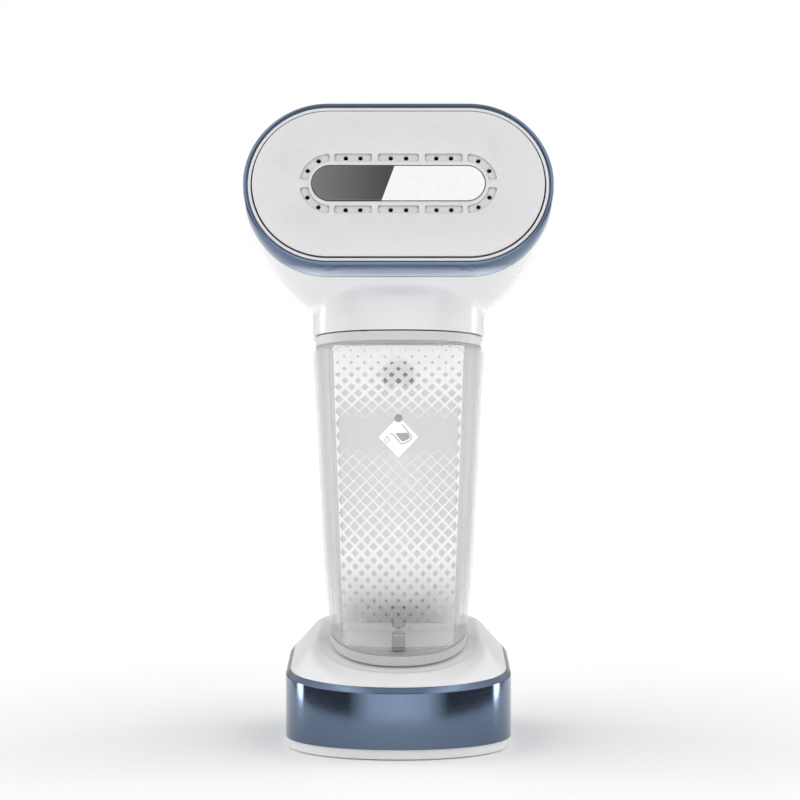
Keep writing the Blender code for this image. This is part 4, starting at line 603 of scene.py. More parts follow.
def steam_holes():
    places = []
    for side in (-1, 1):
        for middle, _, pitch in STRAIGHT_POCKETS:
            places += [((middle + half * pitch) * MM, side * POCKET_RADIUS) for half in (-0.5, 0.5)]
        for side_x in (-1, 1):
            for degrees in CORNER_HOLES_DEG:
                a = math.radians(90 - degrees)
                places.append((side_x * (POCKET_FLAT + POCKET_RADIUS * math.cos(a)),
                               side * POCKET_RADIUS * math.sin(a)))
    return places


def build_plate():
    plate = head_block("steam_plate_face", stadium(HEAD_FLAT, PLATE_RADIUS),
                       PLATE_PROUD - PLATE_THICKNESS, PLATE_PROUD, MATERIALS["plate_coating"])
    floor = PLATE_PROUD - POCKET_DEPTH
    for outline in pocket_outlines():
        cut(plate, head_block("pocket", outline, floor, PLATE_PROUD + 2 * MM))
    cut(plate, head_block("badge_seat", stadium(BADGE_FLAT, BADGE_RADIUS + BADGE_GROOVE),
                          PLATE_PROUD - BADGE_SEAT_DEPTH, PLATE_PROUD + 2 * MM))
    round_edges(plate, 0.3 * MM, 3, 40)
    evaluated(plate)
    for x, y in steam_holes():
        cut(plate, cylinder_object("hole", HOLE_RADIUS, 8 * MM, head_point(x, y, -5 * MM), HEAD_OUT,
                                   None, 20))
    smooth(plate, 28)
    settle(plate, "steamer", "plate_coating", "steam_plate")


def build_badge():
    badge = head_block("badge_insert_face", stadium(BADGE_FLAT, BADGE_RADIUS), PLATE_PROUD - BADGE_DEPTH,
                       PLATE_PROUD + BADGE_PROUD, MATERIALS["badge_chrome"])
    round_edges(badge, 0.3 * MM, 3, 40)
    smooth(badge, 40)
    settle(badge, "steamer", "badge_chrome", "plate_badge")


def build_head_rings():
    lip = HEAD_RADIUS - RING_WALL
    profile = [(HEAD_RADIUS, -RING_ROUND), (HEAD_RADIUS - RING_ROUND, 0), (lip, 0),
               (lip, -RING_DEPTH), (HEAD_RADIUS, -RING_DEPTH)]
    ring = head_band("trim_ring", profile, MATERIALS["blue_trim"])
    settle(ring, "steamer", "blue_trim", "head_trim_ring")
    outer, inner = lip - GAP / 2, lip - BEZEL_WALL
    profile = [(outer, -GAP), (inner, -GAP), (inner, -BEZEL_DEPTH), (outer, -BEZEL_DEPTH)]
    bezel = head_band("plate_bezel_ring", profile, MATERIALS["white_plastic"])
    settle(bezel, "steamer", "white_plastic", "plate_bezel")


# ---------------------------------------------------------------- head shell and grip
def sweep_point(t):
    start = head_point(0, 0, -RING_DEPTH - GAP)
    end = Vector((0, GRIP_TOP_Y, GRIP_TOP_Z))
    near_start = start - HEAD_OUT * HEAD_REACH
    near_end = end + Vector((0, 0, GRIP_REACH))
    u = 1 - t
    place = start * u ** 3 + near_start * 3 * u * u * t + near_end * 3 * u * t * t + end * t ** 3
    way = (near_start - start) * u * u + (near_end - near_start) * 2 * u * t + (end - near_end) * t * t
    return place, way.normalized()


def sweep_sizes(t):
    mix = smoothstep(t)
    radius = HEAD_RADIUS - 0.2 * MM
    side = radius + (GRIP_HALF_WIDTH - radius) * mix
    height = radius + (GRIP_HALF_DEPTH - radius) * mix
    belly = HEAD_CHIN * math.sin(math.pi * max(t, 0.0) ** 0.75)
    return HEAD_FLAT * (1 - mix), side, height, height + belly


def sweep_ring(t, steps=48, shift=0.0):
    place, way = sweep_point(t)
    up = Vector((0, -way.z, way.y))
    flat, side, top, belly = sweep_sizes(t)
    ring = []
    for x, v in stadium(1.0, 1.0, steps):
        across = math.copysign(flat + (abs(x) - 1.0) * side, x)
        ring.append(place + way * shift + Vector((across, 0, 0)) + up * (v * (top if v > 0 else belly)))
    return ring


def column_outline(half_width, front_y, back_y, corner=5 * MM, steps=48):
    nose_y = front_y + COLUMN_NOSE
    front = [(x, nose_y - d) for x, d in power_arc(half_width, COLUMN_NOSE, COLUMN_POWER, steps)]
    left = [(-half_width + corner * (1 - math.cos(a)), back_y - corner * (1 - math.sin(a)))
            for a in (math.pi / 2 * k / 6 for k in range(7))]
    return front + left + [(-x, y) for x, y in reversed(left)]


def slice_away(obj, point, normal):
    """Drops everything on the side of a plane that its normal points to."""
    bm = bmesh.new()
    bm.from_mesh(obj.data)
    bmesh.ops.bisect_plane(bm, geom=[*bm.verts, *bm.edges, *bm.faces], plane_co=point, plane_no=normal,
                           clear_outer=True, dist=0.0000001)
    bm.to_mesh(obj.data)
    bm.free()


def build_head_shell():
    """Bowl and neck as one skin: two solids merged by a remesh, relaxed and then cut to size."""
    stops = [0.95 * k / 40 for k in range(41)]
    bowl = [sweep_ring(0.0, shift=-4 * MM), *(sweep_ring(t) for t in stops)]
    neck = []
    back = COLUMN_FRONT_Y + TANK_DEPTH + SPINE_DEPTH + GAP
    for rise in (-0.15, 0.0, 0.3, 0.55, 0.75, 0.9, 1.05):
        front = COLUMN_FRONT_Y - 0.5 * MM + 9 * MM * max(rise, 0.0) ** 4
        neck.append([(x, y, neck_plane_z(y) + (NECK_TOP_Z - neck_plane_z(y)) * rise)
                     for x, y in column_outline(NECK_HALF_WIDTH, front, back)])
    bm = bmesh.new()
    for rings in (bowl, neck):
        bm.from_mesh(loft_mesh("part", rings, capped=True))
    mesh = bpy.data.meshes.new("head_shell_skin")
    bm.to_mesh(mesh)
    bm.free()
    shell = mesh_object("head_shell_skin", mesh, MATERIALS["white_plastic"])
    modify(shell, "REMESH", mode="VOXEL", voxel_size=SHELL_VOXEL, adaptivity=0.0)
    modify(shell, "SMOOTH", factor=0.5, iterations=SHELL_RELAXING)
    evaluated(shell)
    slice_away(shell, head_point(0, 0, -RING_DEPTH - GAP), HEAD_OUT)
    floor = Vector((0, COLUMN_FRONT_Y, TANK_TOP_Z + GAP))
    slice_away(shell, floor, Vector((0, -TANK_TOP_SLOPE, -1)).normalized())
    place, way = sweep_point(SHELL_SPLIT)
    slice_away(shell, place, way)
    modify(shell, "SOLIDIFY", thickness=SHELL_WALL, offset=-1.0)
    evaluated(shell)
    for share, radius in ((BUTTON_AT, BUTTON_RADIUS), (LENS_AT, LENS_RADIUS)):
        at, out = outer_skin(share)
        cut(shell, cylinder_object("hole", radius + GAP, 16 * MM, at - out * 8 * MM, out, None, 40))
    smooth(shell, 40)
    settle(shell, "steamer", "white_plastic", "head_shell")


def outer_skin(t):
    """Point on the back of the body at t along its sweep, and the way out through the skin."""
    spots = []
    for at in (t, t + 0.01):
        place, way = sweep_point(at)
        spots.append(place + Vector((0, -way.z, way.y)) * sweep_sizes(at)[2])
    skin = (spots[1] - spots[0]).normalized()
    return spots[0], Vector((0, -skin.z, skin.y))


def grip_section(z, inset, start, end, steps):
    spread = smoothstep((DECK_TOP_Z + 22 * MM - z) / (30 * MM))
    half_x = GRIP_HALF_WIDTH + GRIP_FLARE * spread - inset
    half_y = GRIP_HALF_DEPTH - inset
    return [Vector((half_x * math.cos(a), grip_y(z) + half_y * math.sin(a), z))
            for a in (start + (end - start) * k / steps for k in range(steps + 1))]


def bend_section(t, inset, start, end, steps):
    place, way = sweep_point(t)
    up = Vector((0, -way.z, way.y))
    flat, side, top, belly = sweep_sizes(t)
    ring = []
    for k in range(steps + 1):
        a = start + (end - start) * k / steps
        height = math.sin(a) * ((top if math.sin(a) > 0 else belly) - inset)
        across = math.cos(a) * (side - inset)
        ring.append(place + Vector((across + math.copysign(flat, across), 0, 0)) + up * height)
    return ring


def build_grip_half(name, node, rear):
    start = SEAM_TURN if rear else math.pi + SEAM_TURN
    end = start + math.pi - 2 * SEAM_TURN
    steps = 36
    foot_z = DECK_TOP_Z - 12 * MM
    first = SHELL_SPLIT + 0.006
    places = [first + (1 - first) * k / 8 for k in range(8)]
    sections = [lambda inset, a, b, t=t: bend_section(t, inset, a, b, steps) for t in places]
    heights = [GRIP_TOP_Z + (foot_z - GRIP_TOP_Z) * k / 30 for k in range(31)]
    sections += [lambda inset, a, b, z=z: grip_section(z, inset, a, b, steps) for z in heights]
    rings = [section(0.0, start, end) + section(SHELL_WALL, end, start) for section in sections]
    obj = mesh_object(name, loft_mesh(name, rings, capped=True), MATERIALS["white_plastic"])
    if rear:
        low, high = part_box("lock_slider")
        middle = (low + high) / 2
        lean = math.atan(GRIP_LEAN / (GRIP_TOP_Z - DECK_TOP_Z))
        cut(obj, box_object("slot", SLIDER_SLOT, (0, middle.y, middle.z - 2.5 * MM), lean))
    else:
        low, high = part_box("trigger")
        size = (high.x - low.x + 0.8 * MM, GRIP_HALF_DEPTH * 1.1, high.z - low.z + 3 * MM)
        cut(obj, box_object("slot", size, (0, GRIP_TOP_Y - GRIP_HALF_DEPTH, (low.z + high.z) / 2), 0.0))
    round_edges(obj, 0.35 * MM, 2, 50)
    smooth(obj, 40)
    settle(obj, "steamer", "white_plastic", node)


def box_object(name, size, centre, lean, material=None):
    bm = bmesh.new()
    bmesh.ops.create_cube(bm, size=1.0)
    bmesh.ops.scale(bm, vec=size, verts=bm.verts)
    matrix = Matrix.Translation(centre) @ Matrix.Rotation(-lean, 4, "X")
    bmesh.ops.transform(bm, matrix=matrix, verts=bm.verts)
    mesh = bpy.data.meshes.new(name)
    bm.to_mesh(mesh)
    bm.free()
    return mesh_object(name, mesh, material)


# ---------------------------------------------------------------- tank
PANEL_SHARE = 0.79  # of the tank's half-width
PANEL_STEP = 0.8 * MM
PANEL_TOP_INSET, PANEL_BOTTOM_INSET = 6.4 * MM, 7.5 * MM
PANEL_CORNER = 5 * MM


def tank_wall_point(share, z, lift=0.0):
    """Point of the tank's outer front, by its share of the half-width, lifted out of the surface."""
    half = tank_half_width(z) + lift
    nose = COLUMN_NOSE + lift
    depth = nose * (1 - min(1.0, abs(share)) ** COLUMN_POWER) ** (1 / COLUMN_POWER)
    return Vector((share * half, COLUMN_FRONT_Y + COLUMN_NOSE - depth, z))


def panel_rise(x, y, z):
    """How far the front panel stands out of the tank at a point: full inside its rounded outline."""
    half = tank_half_width(z) * PANEL_SHARE
    top = neck_plane_z(y) - PANEL_TOP_INSET
    bottom = tank_floor_z(y) + PANEL_BOTTOM_INSET
    corner = PANEL_CORNER
    middle, reach = (top + bottom) / 2, (top - bottom) / 2
    dx = abs(x) - (half - corner)
    dz = abs(z - middle) - (reach - corner)
    distance = math.hypot(max(dx, 0.0), max(dz, 0.0)) + min(max(dx, dz), 0.0) - corner
    return PANEL_STEP * smoothstep(0.5 - distance / (0.9 * MM))


def column_x(share, half):
    """Place across of an outline point that was made for a half-width of one."""
    return share * half if abs(share) <= 1 else math.copysign(half, share)


def tank_side_ring(share_of_height, steps=110):
    """Ring round the tank at a share of its sloping height, with the panel's step."""
    back = COLUMN_FRONT_Y + TANK_DEPTH - TANK_BACK_THICKNESS - GAP
    ring = []
    for x, y in column_outline(1.0, COLUMN_FRONT_Y, back, 0.5 * MM, steps):
        low, high = tank_floor_z(y) + TANK_CAP + GAP, neck_plane_z(y) - TANK_CAP - 2 * GAP
        z = low + (high - low) * share_of_height
        half = tank_half_width(z)
        point = Vector((column_x(x, half), y, z))
        lift = panel_rise(point.x, y, z) if y < COLUMN_FRONT_Y + COLUMN_NOSE * 0.8 else 0.0
        outward = Vector((point.x / half ** 2,
                          (y - COLUMN_FRONT_Y - COLUMN_NOSE) / COLUMN_NOSE ** 2, 0))
        ring.append(point + outward.normalized() * lift if lift else point)
    return ring


def build_tank_body():
    rows = 130
    corner = 7  # points of one back corner, where the open ring starts
    rings = [tank_side_ring(smooth_share(k / rows)) for k in range(rows + 1)]
    mesh = loft_mesh("tank_body_clear", [ring[-corner:] + ring[:-corner] for ring in rings],
                     closed=False)
    body = mesh_object("tank_body_clear", mesh, MATERIALS["clear_tank"])
    modify(body, "SOLIDIFY", thickness=TANK_WALL, offset=-1.0, use_even_offset=True)
    smooth(body, 50)
    settle(body, "water_tank", "clear_tank", "tank_body")


def smooth_share(t):
    """Rows sit closer together near both ends, where the panel's corners are."""
    return 0.65 * t + 0.35 * smoothstep(t)


def tank_slab(name, face, low, high, node, material, hollow):
    """Sloping end of the tank: a cup under the neck or over the deck."""
    def ring(height, inset):
        back = COLUMN_FRONT_Y + TANK_DEPTH - TANK_BACK_THICKNESS - GAP
        points = []
        for x, y in column_outline(1.0, COLUMN_FRONT_Y + inset, back - inset, 0.5 * MM, 80):
            z = (tank_floor_z(y) if face == "floor" else neck_plane_z(y) - GAP) + height
            half = tank_half_width(z) - inset
            points.append((column_x(x, half), y, z))
        return points
    if hollow == "up":
        rings = [ring(low, 0), ring(high, 0), ring(high, 2.4 * MM), ring(low + TANK_WALL, 2.4 * MM)]
    else:
        rings = [ring(high, 0), ring(low, 0), ring(low, 2.4 * MM), ring(high - TANK_WALL, 2.4 * MM)]
    slab = mesh_object(name, loft_mesh(name, rings, capped=True), material)
    round_edges(slab, 0.45 * MM, 3, 40)
    smooth(slab, 40)
    settle(slab, "water_tank", "frosted_tank", node)


def build_tank_back():
    back_y = COLUMN_FRONT_Y + TANK_DEPTH
    low, high = tank_floor_z(back_y) + 0.5 * MM, neck_plane_z(back_y) - GAP - 0.5 * MM
    slant = 6 * MM
    side = [(tank_half_width(low) - 1 * MM, low), (tank_half_width(low) + TANK_FLANGE, low + slant),
            (tank_half_width(high) + TANK_FLANGE, high - slant), (tank_half_width(high) - 1 * MM, high)]
    outline = side + [(-x, z) for x, z in reversed(side)]
    rings = [[(x, y, z) for x, z in outline] for y in (back_y - TANK_BACK_THICKNESS, back_y)]
    panel = mesh_object("tank_back_frosted", loft_mesh("tank_back_frosted", rings, capped=True),
                        TANK_BACK_MATERIAL)
    round_edges(panel, 1.2 * MM, 4, 40)
    smooth(panel, 40)
    settle(panel, "water_tank", "frosted_tank", "tank_back")


# print on the tank's front panel
PRINT_LIFT = PANEL_STEP + 0.12 * MM
PRINT_TOP_Z, PRINT_BOTTOM_Z = 196.6 * MM, 51.5 * MM
PITCH_X_TOP, PITCH_X_BOTTOM = 6.42 * MM, 5.55 * MM
PITCH_Z_TOP, PITCH_Z_BOTTOM = 5.8 * MM, 6.7 * MM
CLEAR_BAND_Z = (146.0 * MM, 162.0 * MM)
# height in mm, and the clear window's share of its cell
WINDOW_SIZES = ((55, 0.14), (74, 0.36), (86, 0.5), (103, 0.73), (122, 0.86), (146, 0.93),
                (162, 0.97), (176, 0.62), (188, 0.32), (195, 0.17))


def window_share(z):
    z = z / MM
    for (low, first), (high, second) in zip(WINDOW_SIZES, WINDOW_SIZES[1:]):
        if z <= high:
            return first + (second - first) * max(0.0, z - low) / (high - low)
    return WINDOW_SIZES[-1][1] * max(0.0, 1 - (z - 195) / 3)


def printed_point(x, z, lift=PRINT_LIFT):
    z = min(PRINT_TOP_Z, max(PRINT_BOTTOM_Z, z))
    half = tank_half_width(z)
    limit = half * (PANEL_SHARE - 0.025)
    return tank_wall_point(max(-limit, min(limit, x)) / half, z, lift)


def lattice_rows():
    """Heights of the staggered rows, from top to bottom, with their pitches."""
    z, row = PRINT_TOP_Z + 0.5 * MM, 0
    while z > PRINT_BOTTOM_Z - 4 * MM:
        share = (z - PRINT_BOTTOM_Z) / (PRINT_TOP_Z - PRINT_BOTTOM_Z)
        pitch_x = PITCH_X_BOTTOM + (PITCH_X_TOP - PITCH_X_BOTTOM) * share
        pitch_z = PITCH_Z_BOTTOM + (PITCH_Z_TOP - PITCH_Z_BOTTOM) * share
        yield row, z, pitch_x, pitch_z
        z -= pitch_z / 2
        row += 1


def build_print():
    """White halftone: rhombic cells whose rhombic windows close up towards both ends."""
    bm = bmesh.new()

    def face(points):
        verts = [bm.verts.new(printed_point(x, z)) for x, z in points]
        bm.faces.new(verts)

    for row, z, pitch_x, pitch_z in lattice_rows():
        odd = row % 2
        columns = [k + 0.5 for k in range(-5, 5)] if odd else list(range(-4, 5))
        clear = CLEAR_BAND_Z[0] < z < CLEAR_BAND_Z[1]
        hole = window_share(z)
        for k in columns:
            if clear:
                continue
            x = k * pitch_x
            outer = [(x + pitch_x / 2, z), (x, z + pitch_z / 2), (x - pitch_x / 2, z),
                     (x, z - pitch_z / 2)]
            inner = [(x + (px - x) * hole, z + (pz - z) * hole) for px, pz in outer]
            for i in range(4):
                j = (i + 1) % 4
                face((outer[i], outer[j], inner[j], inner[i]))
        if not odd:
            for side in (-1, 1):
                tip, edge = side * 4.5 * pitch_x, side * 6 * pitch_x
                face(((tip, z), (tip + side * pitch_x / 2, z + pitch_z / 2), (edge, z + pitch_z / 2),
                      (edge, z - pitch_z / 2), (tip + side * pitch_x / 2, z - pitch_z / 2)))
    for f in list(bm.faces):
        if f.calc_area() < 1e-9:
            bm.faces.remove(f)
    bmesh.ops.recalc_face_normals(bm, faces=bm.faces)
    mesh = bpy.data.meshes.new("tank_print_lattice")
    bm.to_mesh(mesh)
    bm.free()
    obj = mesh_object("tank_print_lattice", mesh, PRINT_MATERIAL)
    settle(obj, "water_tank", "white_plastic")


def spread(first, last, steps):
    return [first + (last - first) * k / steps for k in range(steps + 1)]


def panel_outline(edge):
    """Points on the tank's front along the panel's border, moved in by edge."""
    low = tank_floor_z(COLUMN_FRONT_Y) + PANEL_BOTTOM_INSET + edge
    high = neck_plane_z(COLUMN_FRONT_Y) - PANEL_TOP_INSET - edge
    corner = PANEL_CORNER - edge
    low_x, high_x = (tank_half_width(z) * PANEL_SHARE - edge - corner for z in (low, high))
    arc = spread(0.0, math.pi / 2, 10)
    path = [(x, low) for x in spread(0.0, low_x, 12)[:-1]]
    path += [(low_x + corner * math.sin(a), low + corner * (1 - math.cos(a))) for a in arc]
    path += [(tank_half_width(z) * PANEL_SHARE - edge, z)
             for z in spread(low + corner, high - corner, 50)[1:-1]]
    path += [(high_x + corner * math.cos(a), high - corner * (1 - math.sin(a))) for a in arc]
    path += [(x, high) for x in spread(high_x, 0.0, 12)[1:]]
    path += [(-x, z) for x, z in reversed(path[1:-1])]
    points = []
    for x, z in path:
        point = tank_wall_point(x / tank_half_width(z), z, PANEL_STEP + 0.1 * MM)
        share = (z - low) / (high - low)
        point.z += share * (neck_plane_z(point.y) - neck_plane_z(COLUMN_FRONT_Y))
        point.z += (1 - share) * (tank_floor_z(point.y) - tank_floor_z(COLUMN_FRONT_Y))
        points.append(point)
    return points


def build_panel_edge():
    """Grey lines along the border of the raised panel: painted shade of its stepped edges."""
    for name, inset, width in (("panel_edge_outer", -1.0 * MM, 0.6 * MM),
                               ("panel_edge_inner", 1.0 * MM, 0.35 * MM)):
        rings = [panel_outline(inset - width / 2), panel_outline(inset + width / 2)]
        line = mesh_object(name, loft_mesh(name, rings), PANEL_EDGE_SHADE_MATERIAL)
        smooth(line, 60)
        settle(line, "water_tank", "frosted_tank")


ICON_Z = 152.6 * MM


def flat_shape(name, points, lift, material, slot="white_plastic"):
    """Filled outline printed on the tank's front."""
    bm = bmesh.new()
    bm.faces.new([bm.verts.new((x * MM, 0, ICON_Z + z * MM)) for x, z in points])
    bmesh.ops.triangulate(bm, faces=bm.faces)
    bmesh.ops.subdivide_edges(bm, edges=bm.edges, cuts=7, use_grid_fill=True)
    for vert in bm.verts:
        vert.co = printed_point(vert.co.x, vert.co.z, lift)
    mesh = bpy.data.meshes.new(name)
    bm.to_mesh(mesh)
    bm.free()
    return settle(mesh_object(name, mesh, material), "water_tank", slot)


def line_shape(name, points, width, lift, material):
    """Printed line along points, as a flat ribbon."""
    bm = bmesh.new()
    rows = []
    for i, (x, z) in enumerate(points):
        before, after = points[max(i - 1, 0)], points[min(i + 1, len(points) - 1)]
        way = Vector((after[0] - before[0], after[1] - before[1])).normalized()
        side = Vector((-way.y, way.x)) * width / 2
        rows.append([bm.verts.new(printed_point((x + s * side.x) * MM,
                                                ICON_Z + (z + s * side.y) * MM, lift))
                     for s in (-1, 1)])
    for lower, upper in zip(rows, rows[1:]):
        bm.faces.new((lower[0], lower[1], upper[1], upper[0]))
    mesh = bpy.data.meshes.new(name)
    bm.to_mesh(mesh)
    bm.free()
    return settle(mesh_object(name, mesh, material), "water_tank", "grey_plastic")


def build_icon():
    """Fill mark: a pouring jug and a drop in a white rhombus."""
    lift = PRINT_LIFT + 0.08 * MM
    flat_shape("fill_mark_field", ((9.3, 0), (0, 10.0), (-9.3, 0), (0, -10.0)), lift, FIELD_MATERIAL)
    ink = lift + 0.08 * MM
    jug = ((-3.9, 1.6), (-3.0, 1.6), (-2.3, 1.1), (0.6, -2.4), (1.3, -3.1), (2.2, -3.2),
           (4.9, -1.9), (5.9, -1.1), (6.1, -0.2), (5.8, 0.8), (4.0, 3.3), (1.7, 6.1))
    line_shape("fill_mark_jug", jug, 0.42, ink, ICON_MATERIAL)
    water = ((-1.5, 1.9), (4.4, 2.1), (5.2, 0.6), (5.3, -0.4), (4.4, -1.1), (2.3, -2.1), (1.4, -1.8))
    flat_shape("fill_mark_water", water, ink, ICON_MATERIAL, "grey_plastic")
    drop = [(-5.2 + 1.05 * math.cos(a), -1.5 + 1.05 * math.sin(a)) for a in
            (math.radians(55 - 290 * k / 12) for k in range(13))]
    line_shape("fill_mark_drop", [(-5.15, 0.6), *drop, (-5.25, 0.6)], 0.3, ink, ICON_MATERIAL)


def build_vent_dot():
    """Small grey plug at the top corner of the fill mark."""
    spot = tank_wall_point(0.0, 161.7 * MM, PANEL_STEP)
    dot = cylinder_object("tank_vent_plug", 1.95 * MM, 0.9 * MM, spot + Vector((0, 0.4 * MM, 0)),
                          (0, -1, 0), DOT_MATERIAL, 32)
    round_edges(dot, 0.3 * MM, 3)
    smooth(dot)
    settle(dot, "water_tank", "grey_plastic")


def build_intake_bracket():
    """Fine clip over the foot of the pick-up tube."""
    low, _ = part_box("tank_valve_body")
    y = low.y - 0.3 * MM
    top = low.z + 10.6 * MM
    for name, half, z in (("intake_clip_top", 4.9 * MM, top),
                          ("intake_clip_shelf", 6.4 * MM, top - 2.7 * MM)):
        bar = box_object(name, (2 * half, 0.5 * MM, 0.5 * MM), (0, y, z), 0.0,
                         MATERIALS["grey_plastic"])
        round_edges(bar, 0.12 * MM, 2)
        settle(bar, "water_tank", "grey_plastic")


# ---------------------------------------------------------------- foot
def profile_band(name, profile, material, bevel):
    """Closed loop of (inset, height function) swept round the foot."""
    rings = [[(x, y, height(y)) for x, y in foot_outline(inset)] for inset, height in profile]
    obj = mesh_object(name, loft_mesh(name, [*rings, rings[0]]), material)
    round_edges(obj, bevel, 3, 30)
    smooth(obj, 30)
    return obj


def build_trim_band():
    profile = ((0.0, lambda y: BAND_BOTTOM_Z),
               (0.0, lambda y: deck_edge_z(y) - BAND_CHAMFER),
               (BAND_CHAMFER_INSET, deck_edge_z),
               (BAND_CHAMFER_INSET + 0.2 * MM, lambda y: deck_edge_z(y) - BAND_LIP),
               (BAND_WALL, lambda y: deck_edge_z(y) - BAND_CHAMFER - BAND_LIP),
               (BAND_WALL, lambda y: BAND_BOTTOM_Z))
    band = profile_band("foot_band", profile, BAND_MATERIAL, 0.22 * MM)
    evaluated(band)
    low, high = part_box("cord_gland")
    gland_z = (low.z + high.z) / 2
    cut(band, cylinder_object("hole", GLAND_HOLE_RADIUS, 30 * MM, (0, FOOT_BACK_Y - 15 * MM, gland_z),
                              (0, 1, 0), None, 48))
    smooth(band, 30)
    settle(band, "steamer", "blue_trim", "base_trim_band")


def soft_min(first, second, blend):
    mix = max(0.0, min(1.0, 0.5 + (second - first) / (2 * blend)))
    return second + (first - second) * mix - blend * mix * (1 - mix)


def deck_z(y, inward):
    flank = deck_edge_z(y) + inward
    ridge = soft_min(max(deck_plane_z(y), deck_edge_z(y)), DECK_TOP_Z, DECK_BLEND)
    return max(soft_min(flank, ridge, DECK_BLEND), deck_edge_z(y)) if inward > 0 else deck_edge_z(y)


def dish_depth(x, y):
    """Shallow moat in the deck round the tank's foot."""
    nose_y = COLUMN_FRONT_Y + COLUMN_NOSE
    across = abs(x) / TANK_HALF_BOTTOM
    along = max(0.0, nose_y - y) / COLUMN_NOSE
    ratio = (across ** COLUMN_POWER + along ** COLUMN_POWER) ** (1 / COLUMN_POWER)
    distance = (ratio - 1) * COLUMN_NOSE
    if y > nose_y + 12 * MM:
        return 0.0
    return DISH_DEPTH * (1 - smoothstep((distance - DISH_REACH) / DISH_EDGE))


def build_deck():
    edge = foot_outline(BAND_CHAMFER_INSET + GAP / 2)
    centre = Vector((0, DECK_MIDDLE_Y))
    rings = []
    rows = 60
    for k in range(rows):
        share = 1 - (k / rows)
        ring = []
        for x, y in edge:
            spot = centre.lerp(Vector((x, y)), share)
            inward = (Vector((x, y)) - centre).length * (1 - share)
            z = deck_z(spot.y, inward) - (dish_depth(spot.x, spot.y) if inward > 4 * MM else 0.0)
            ring.append((spot.x, spot.y, z))
        rings.append(ring)
    skirt = [(x, y, deck_edge_z(y) - 5 * MM) for x, y in edge]
    deck = mesh_object("foot_deck", loft_mesh("foot_deck", [skirt, *rings], capped=True),
                       MATERIALS["white_plastic"])
    weights = deck.vertex_groups.new(name="top")
    low = min(v.co.z for v in deck.data.vertices)
    inside = [v.index for v in deck.data.vertices
              if v.co.z > deck_edge_z(v.co.y) + 0.4 * MM and v.co.z > low]
    weights.add(inside, 1.0, "REPLACE")
    modify(deck, "SMOOTH", factor=0.5, iterations=8, vertex_group="top")
    round_edges(deck, 0.3 * MM, 2, 50)
    smooth(deck, 55)
    settle(deck, "steamer", "white_plastic", "base_shell")


def build_foot_plate():
    _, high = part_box("base_plate")
    rings = []
    for extra, z in ((0.8 * MM, 0.4 * MM), (0.2 * MM, 0.7 * MM), (0.0, 1.3 * MM),
                     (0.0, high.z + 0.15 * MM)):
        rings.append([(x, y, z) for x, y in foot_outline(FOOT_PLATE_INSET + extra)])
    plate = mesh_object("foot_plate", loft_mesh("foot_plate", rings, capped=True),
                        MATERIALS["white_plastic"])
    for number in range(1, 5):
        for node, radius, reach in ((f"rubber_foot_{number}", FOOT_WELL_RADIUS, 2.5 * MM),
                                    (f"base_screw_{number}", SCREW_WELL_RADIUS, 3.4 * MM)):
            first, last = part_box(node)
            middle = (first + last) / 2
            cut(plate, cylinder_object("well", radius, reach + 2 * MM,
                                       (middle.x, middle.y, -2 * MM), (0, 0, 1)))
    smooth(plate, 30)
    settle(plate, "steamer", "white_plastic", "base_plate")


# ---------------------------------------------------------------- carried-over nodes
SLOTS = {entry["node"]: entry["material_slot"] for entry in frame["record"]["subparts"]}
BODIES = frame["record"]["behaviour"]["bodies"]
BODY_OF = {node: body for body, nodes in BODIES.items() for node in nodes}
DRESSED = {  # node: edge rounding in mm
    "column_spine": 0.5, "dock_pad": 0.2, "filler_plug": 0.4, "tank_valve_body": 0.0,
    "trigger": 0.5, "lock_slider": 0.3, "power_button": 0.4, "indicator_lens": 0.3, "cord_gland": 0.5,
    "rubber_foot_1": 0.4, "rubber_foot_2": 0.4, "rubber_foot_3": 0.4, "rubber_foot_4": 0.4,
    "base_screw_1": 0.15, "base_screw_2": 0.15, "base_screw_3": 0.15, "base_screw_4": 0.15}


OWN_MATERIALS = {"dock_pad": dock_rubber(), "filler_plug": PLUG_MATERIAL,
                 "tank_valve_body": INTAKE_MATERIAL}


def dress(node, rounding):
    """Copy of a CAD node with welded corners, rounded edges and smooth shading, standing for it."""
    source = frame["nodes"][node]
    bm = bmesh.new()
    bm.from_mesh(source.data)
    bmesh.ops.remove_doubles(bm, verts=bm.verts, dist=0.000002)
    bmesh.ops.dissolve_limit(bm, angle_limit=math.radians(1.0), verts=bm.verts, edges=bm.edges)
    mesh = bpy.data.meshes.new(node + "_skin")
    bm.to_mesh(mesh)
    bm.free()
    material = OWN_MATERIALS.get(node, MATERIALS[SLOTS[node]])
    obj = mesh_object(node + "_skin", mesh, material)
    if rounding:
        round_edges(obj, rounding * MM, 3, 40)
    smooth(obj, 35)
    settle(obj, BODY_OF[node], SLOTS[node], node)
    return obj


def build_trigger_spring():
    """Coil behind the trigger, copied onto a mesh of its own; the real coil shortens against its bracket
    as the trigger is pulled.
    """
    spring = dress("trigger_spring", 0)
    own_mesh(spring)


def dress_carried_nodes():
    for node, rounding in DRESSED.items():
        dress(node, rounding)
    for node, source in frame["nodes"].items():
        source.data.materials.clear()
        source.data.materials.append(MATERIALS[SLOTS[node]])


# ---------------------------------------------------------------- stage, light and camera
def build_camera():
    """Level eye a little above the tank, tilted down so that the foot has room under it."""
    data = bpy.data.cameras.new("camera")
    data.sensor_width = 36.0
    data.lens = 117.0
    data.clip_start, data.clip_end = 0.05, 100.0
    camera = bpy.data.objects.new("camera", data)
    camera.location = (0.00075, -1.3, 0.204)
    camera.rotation_euler = (math.radians(90 - 1.542), 0, 0)
    bpy.context.scene.collection.objects.link(camera)
    bpy.context.scene.camera = camera


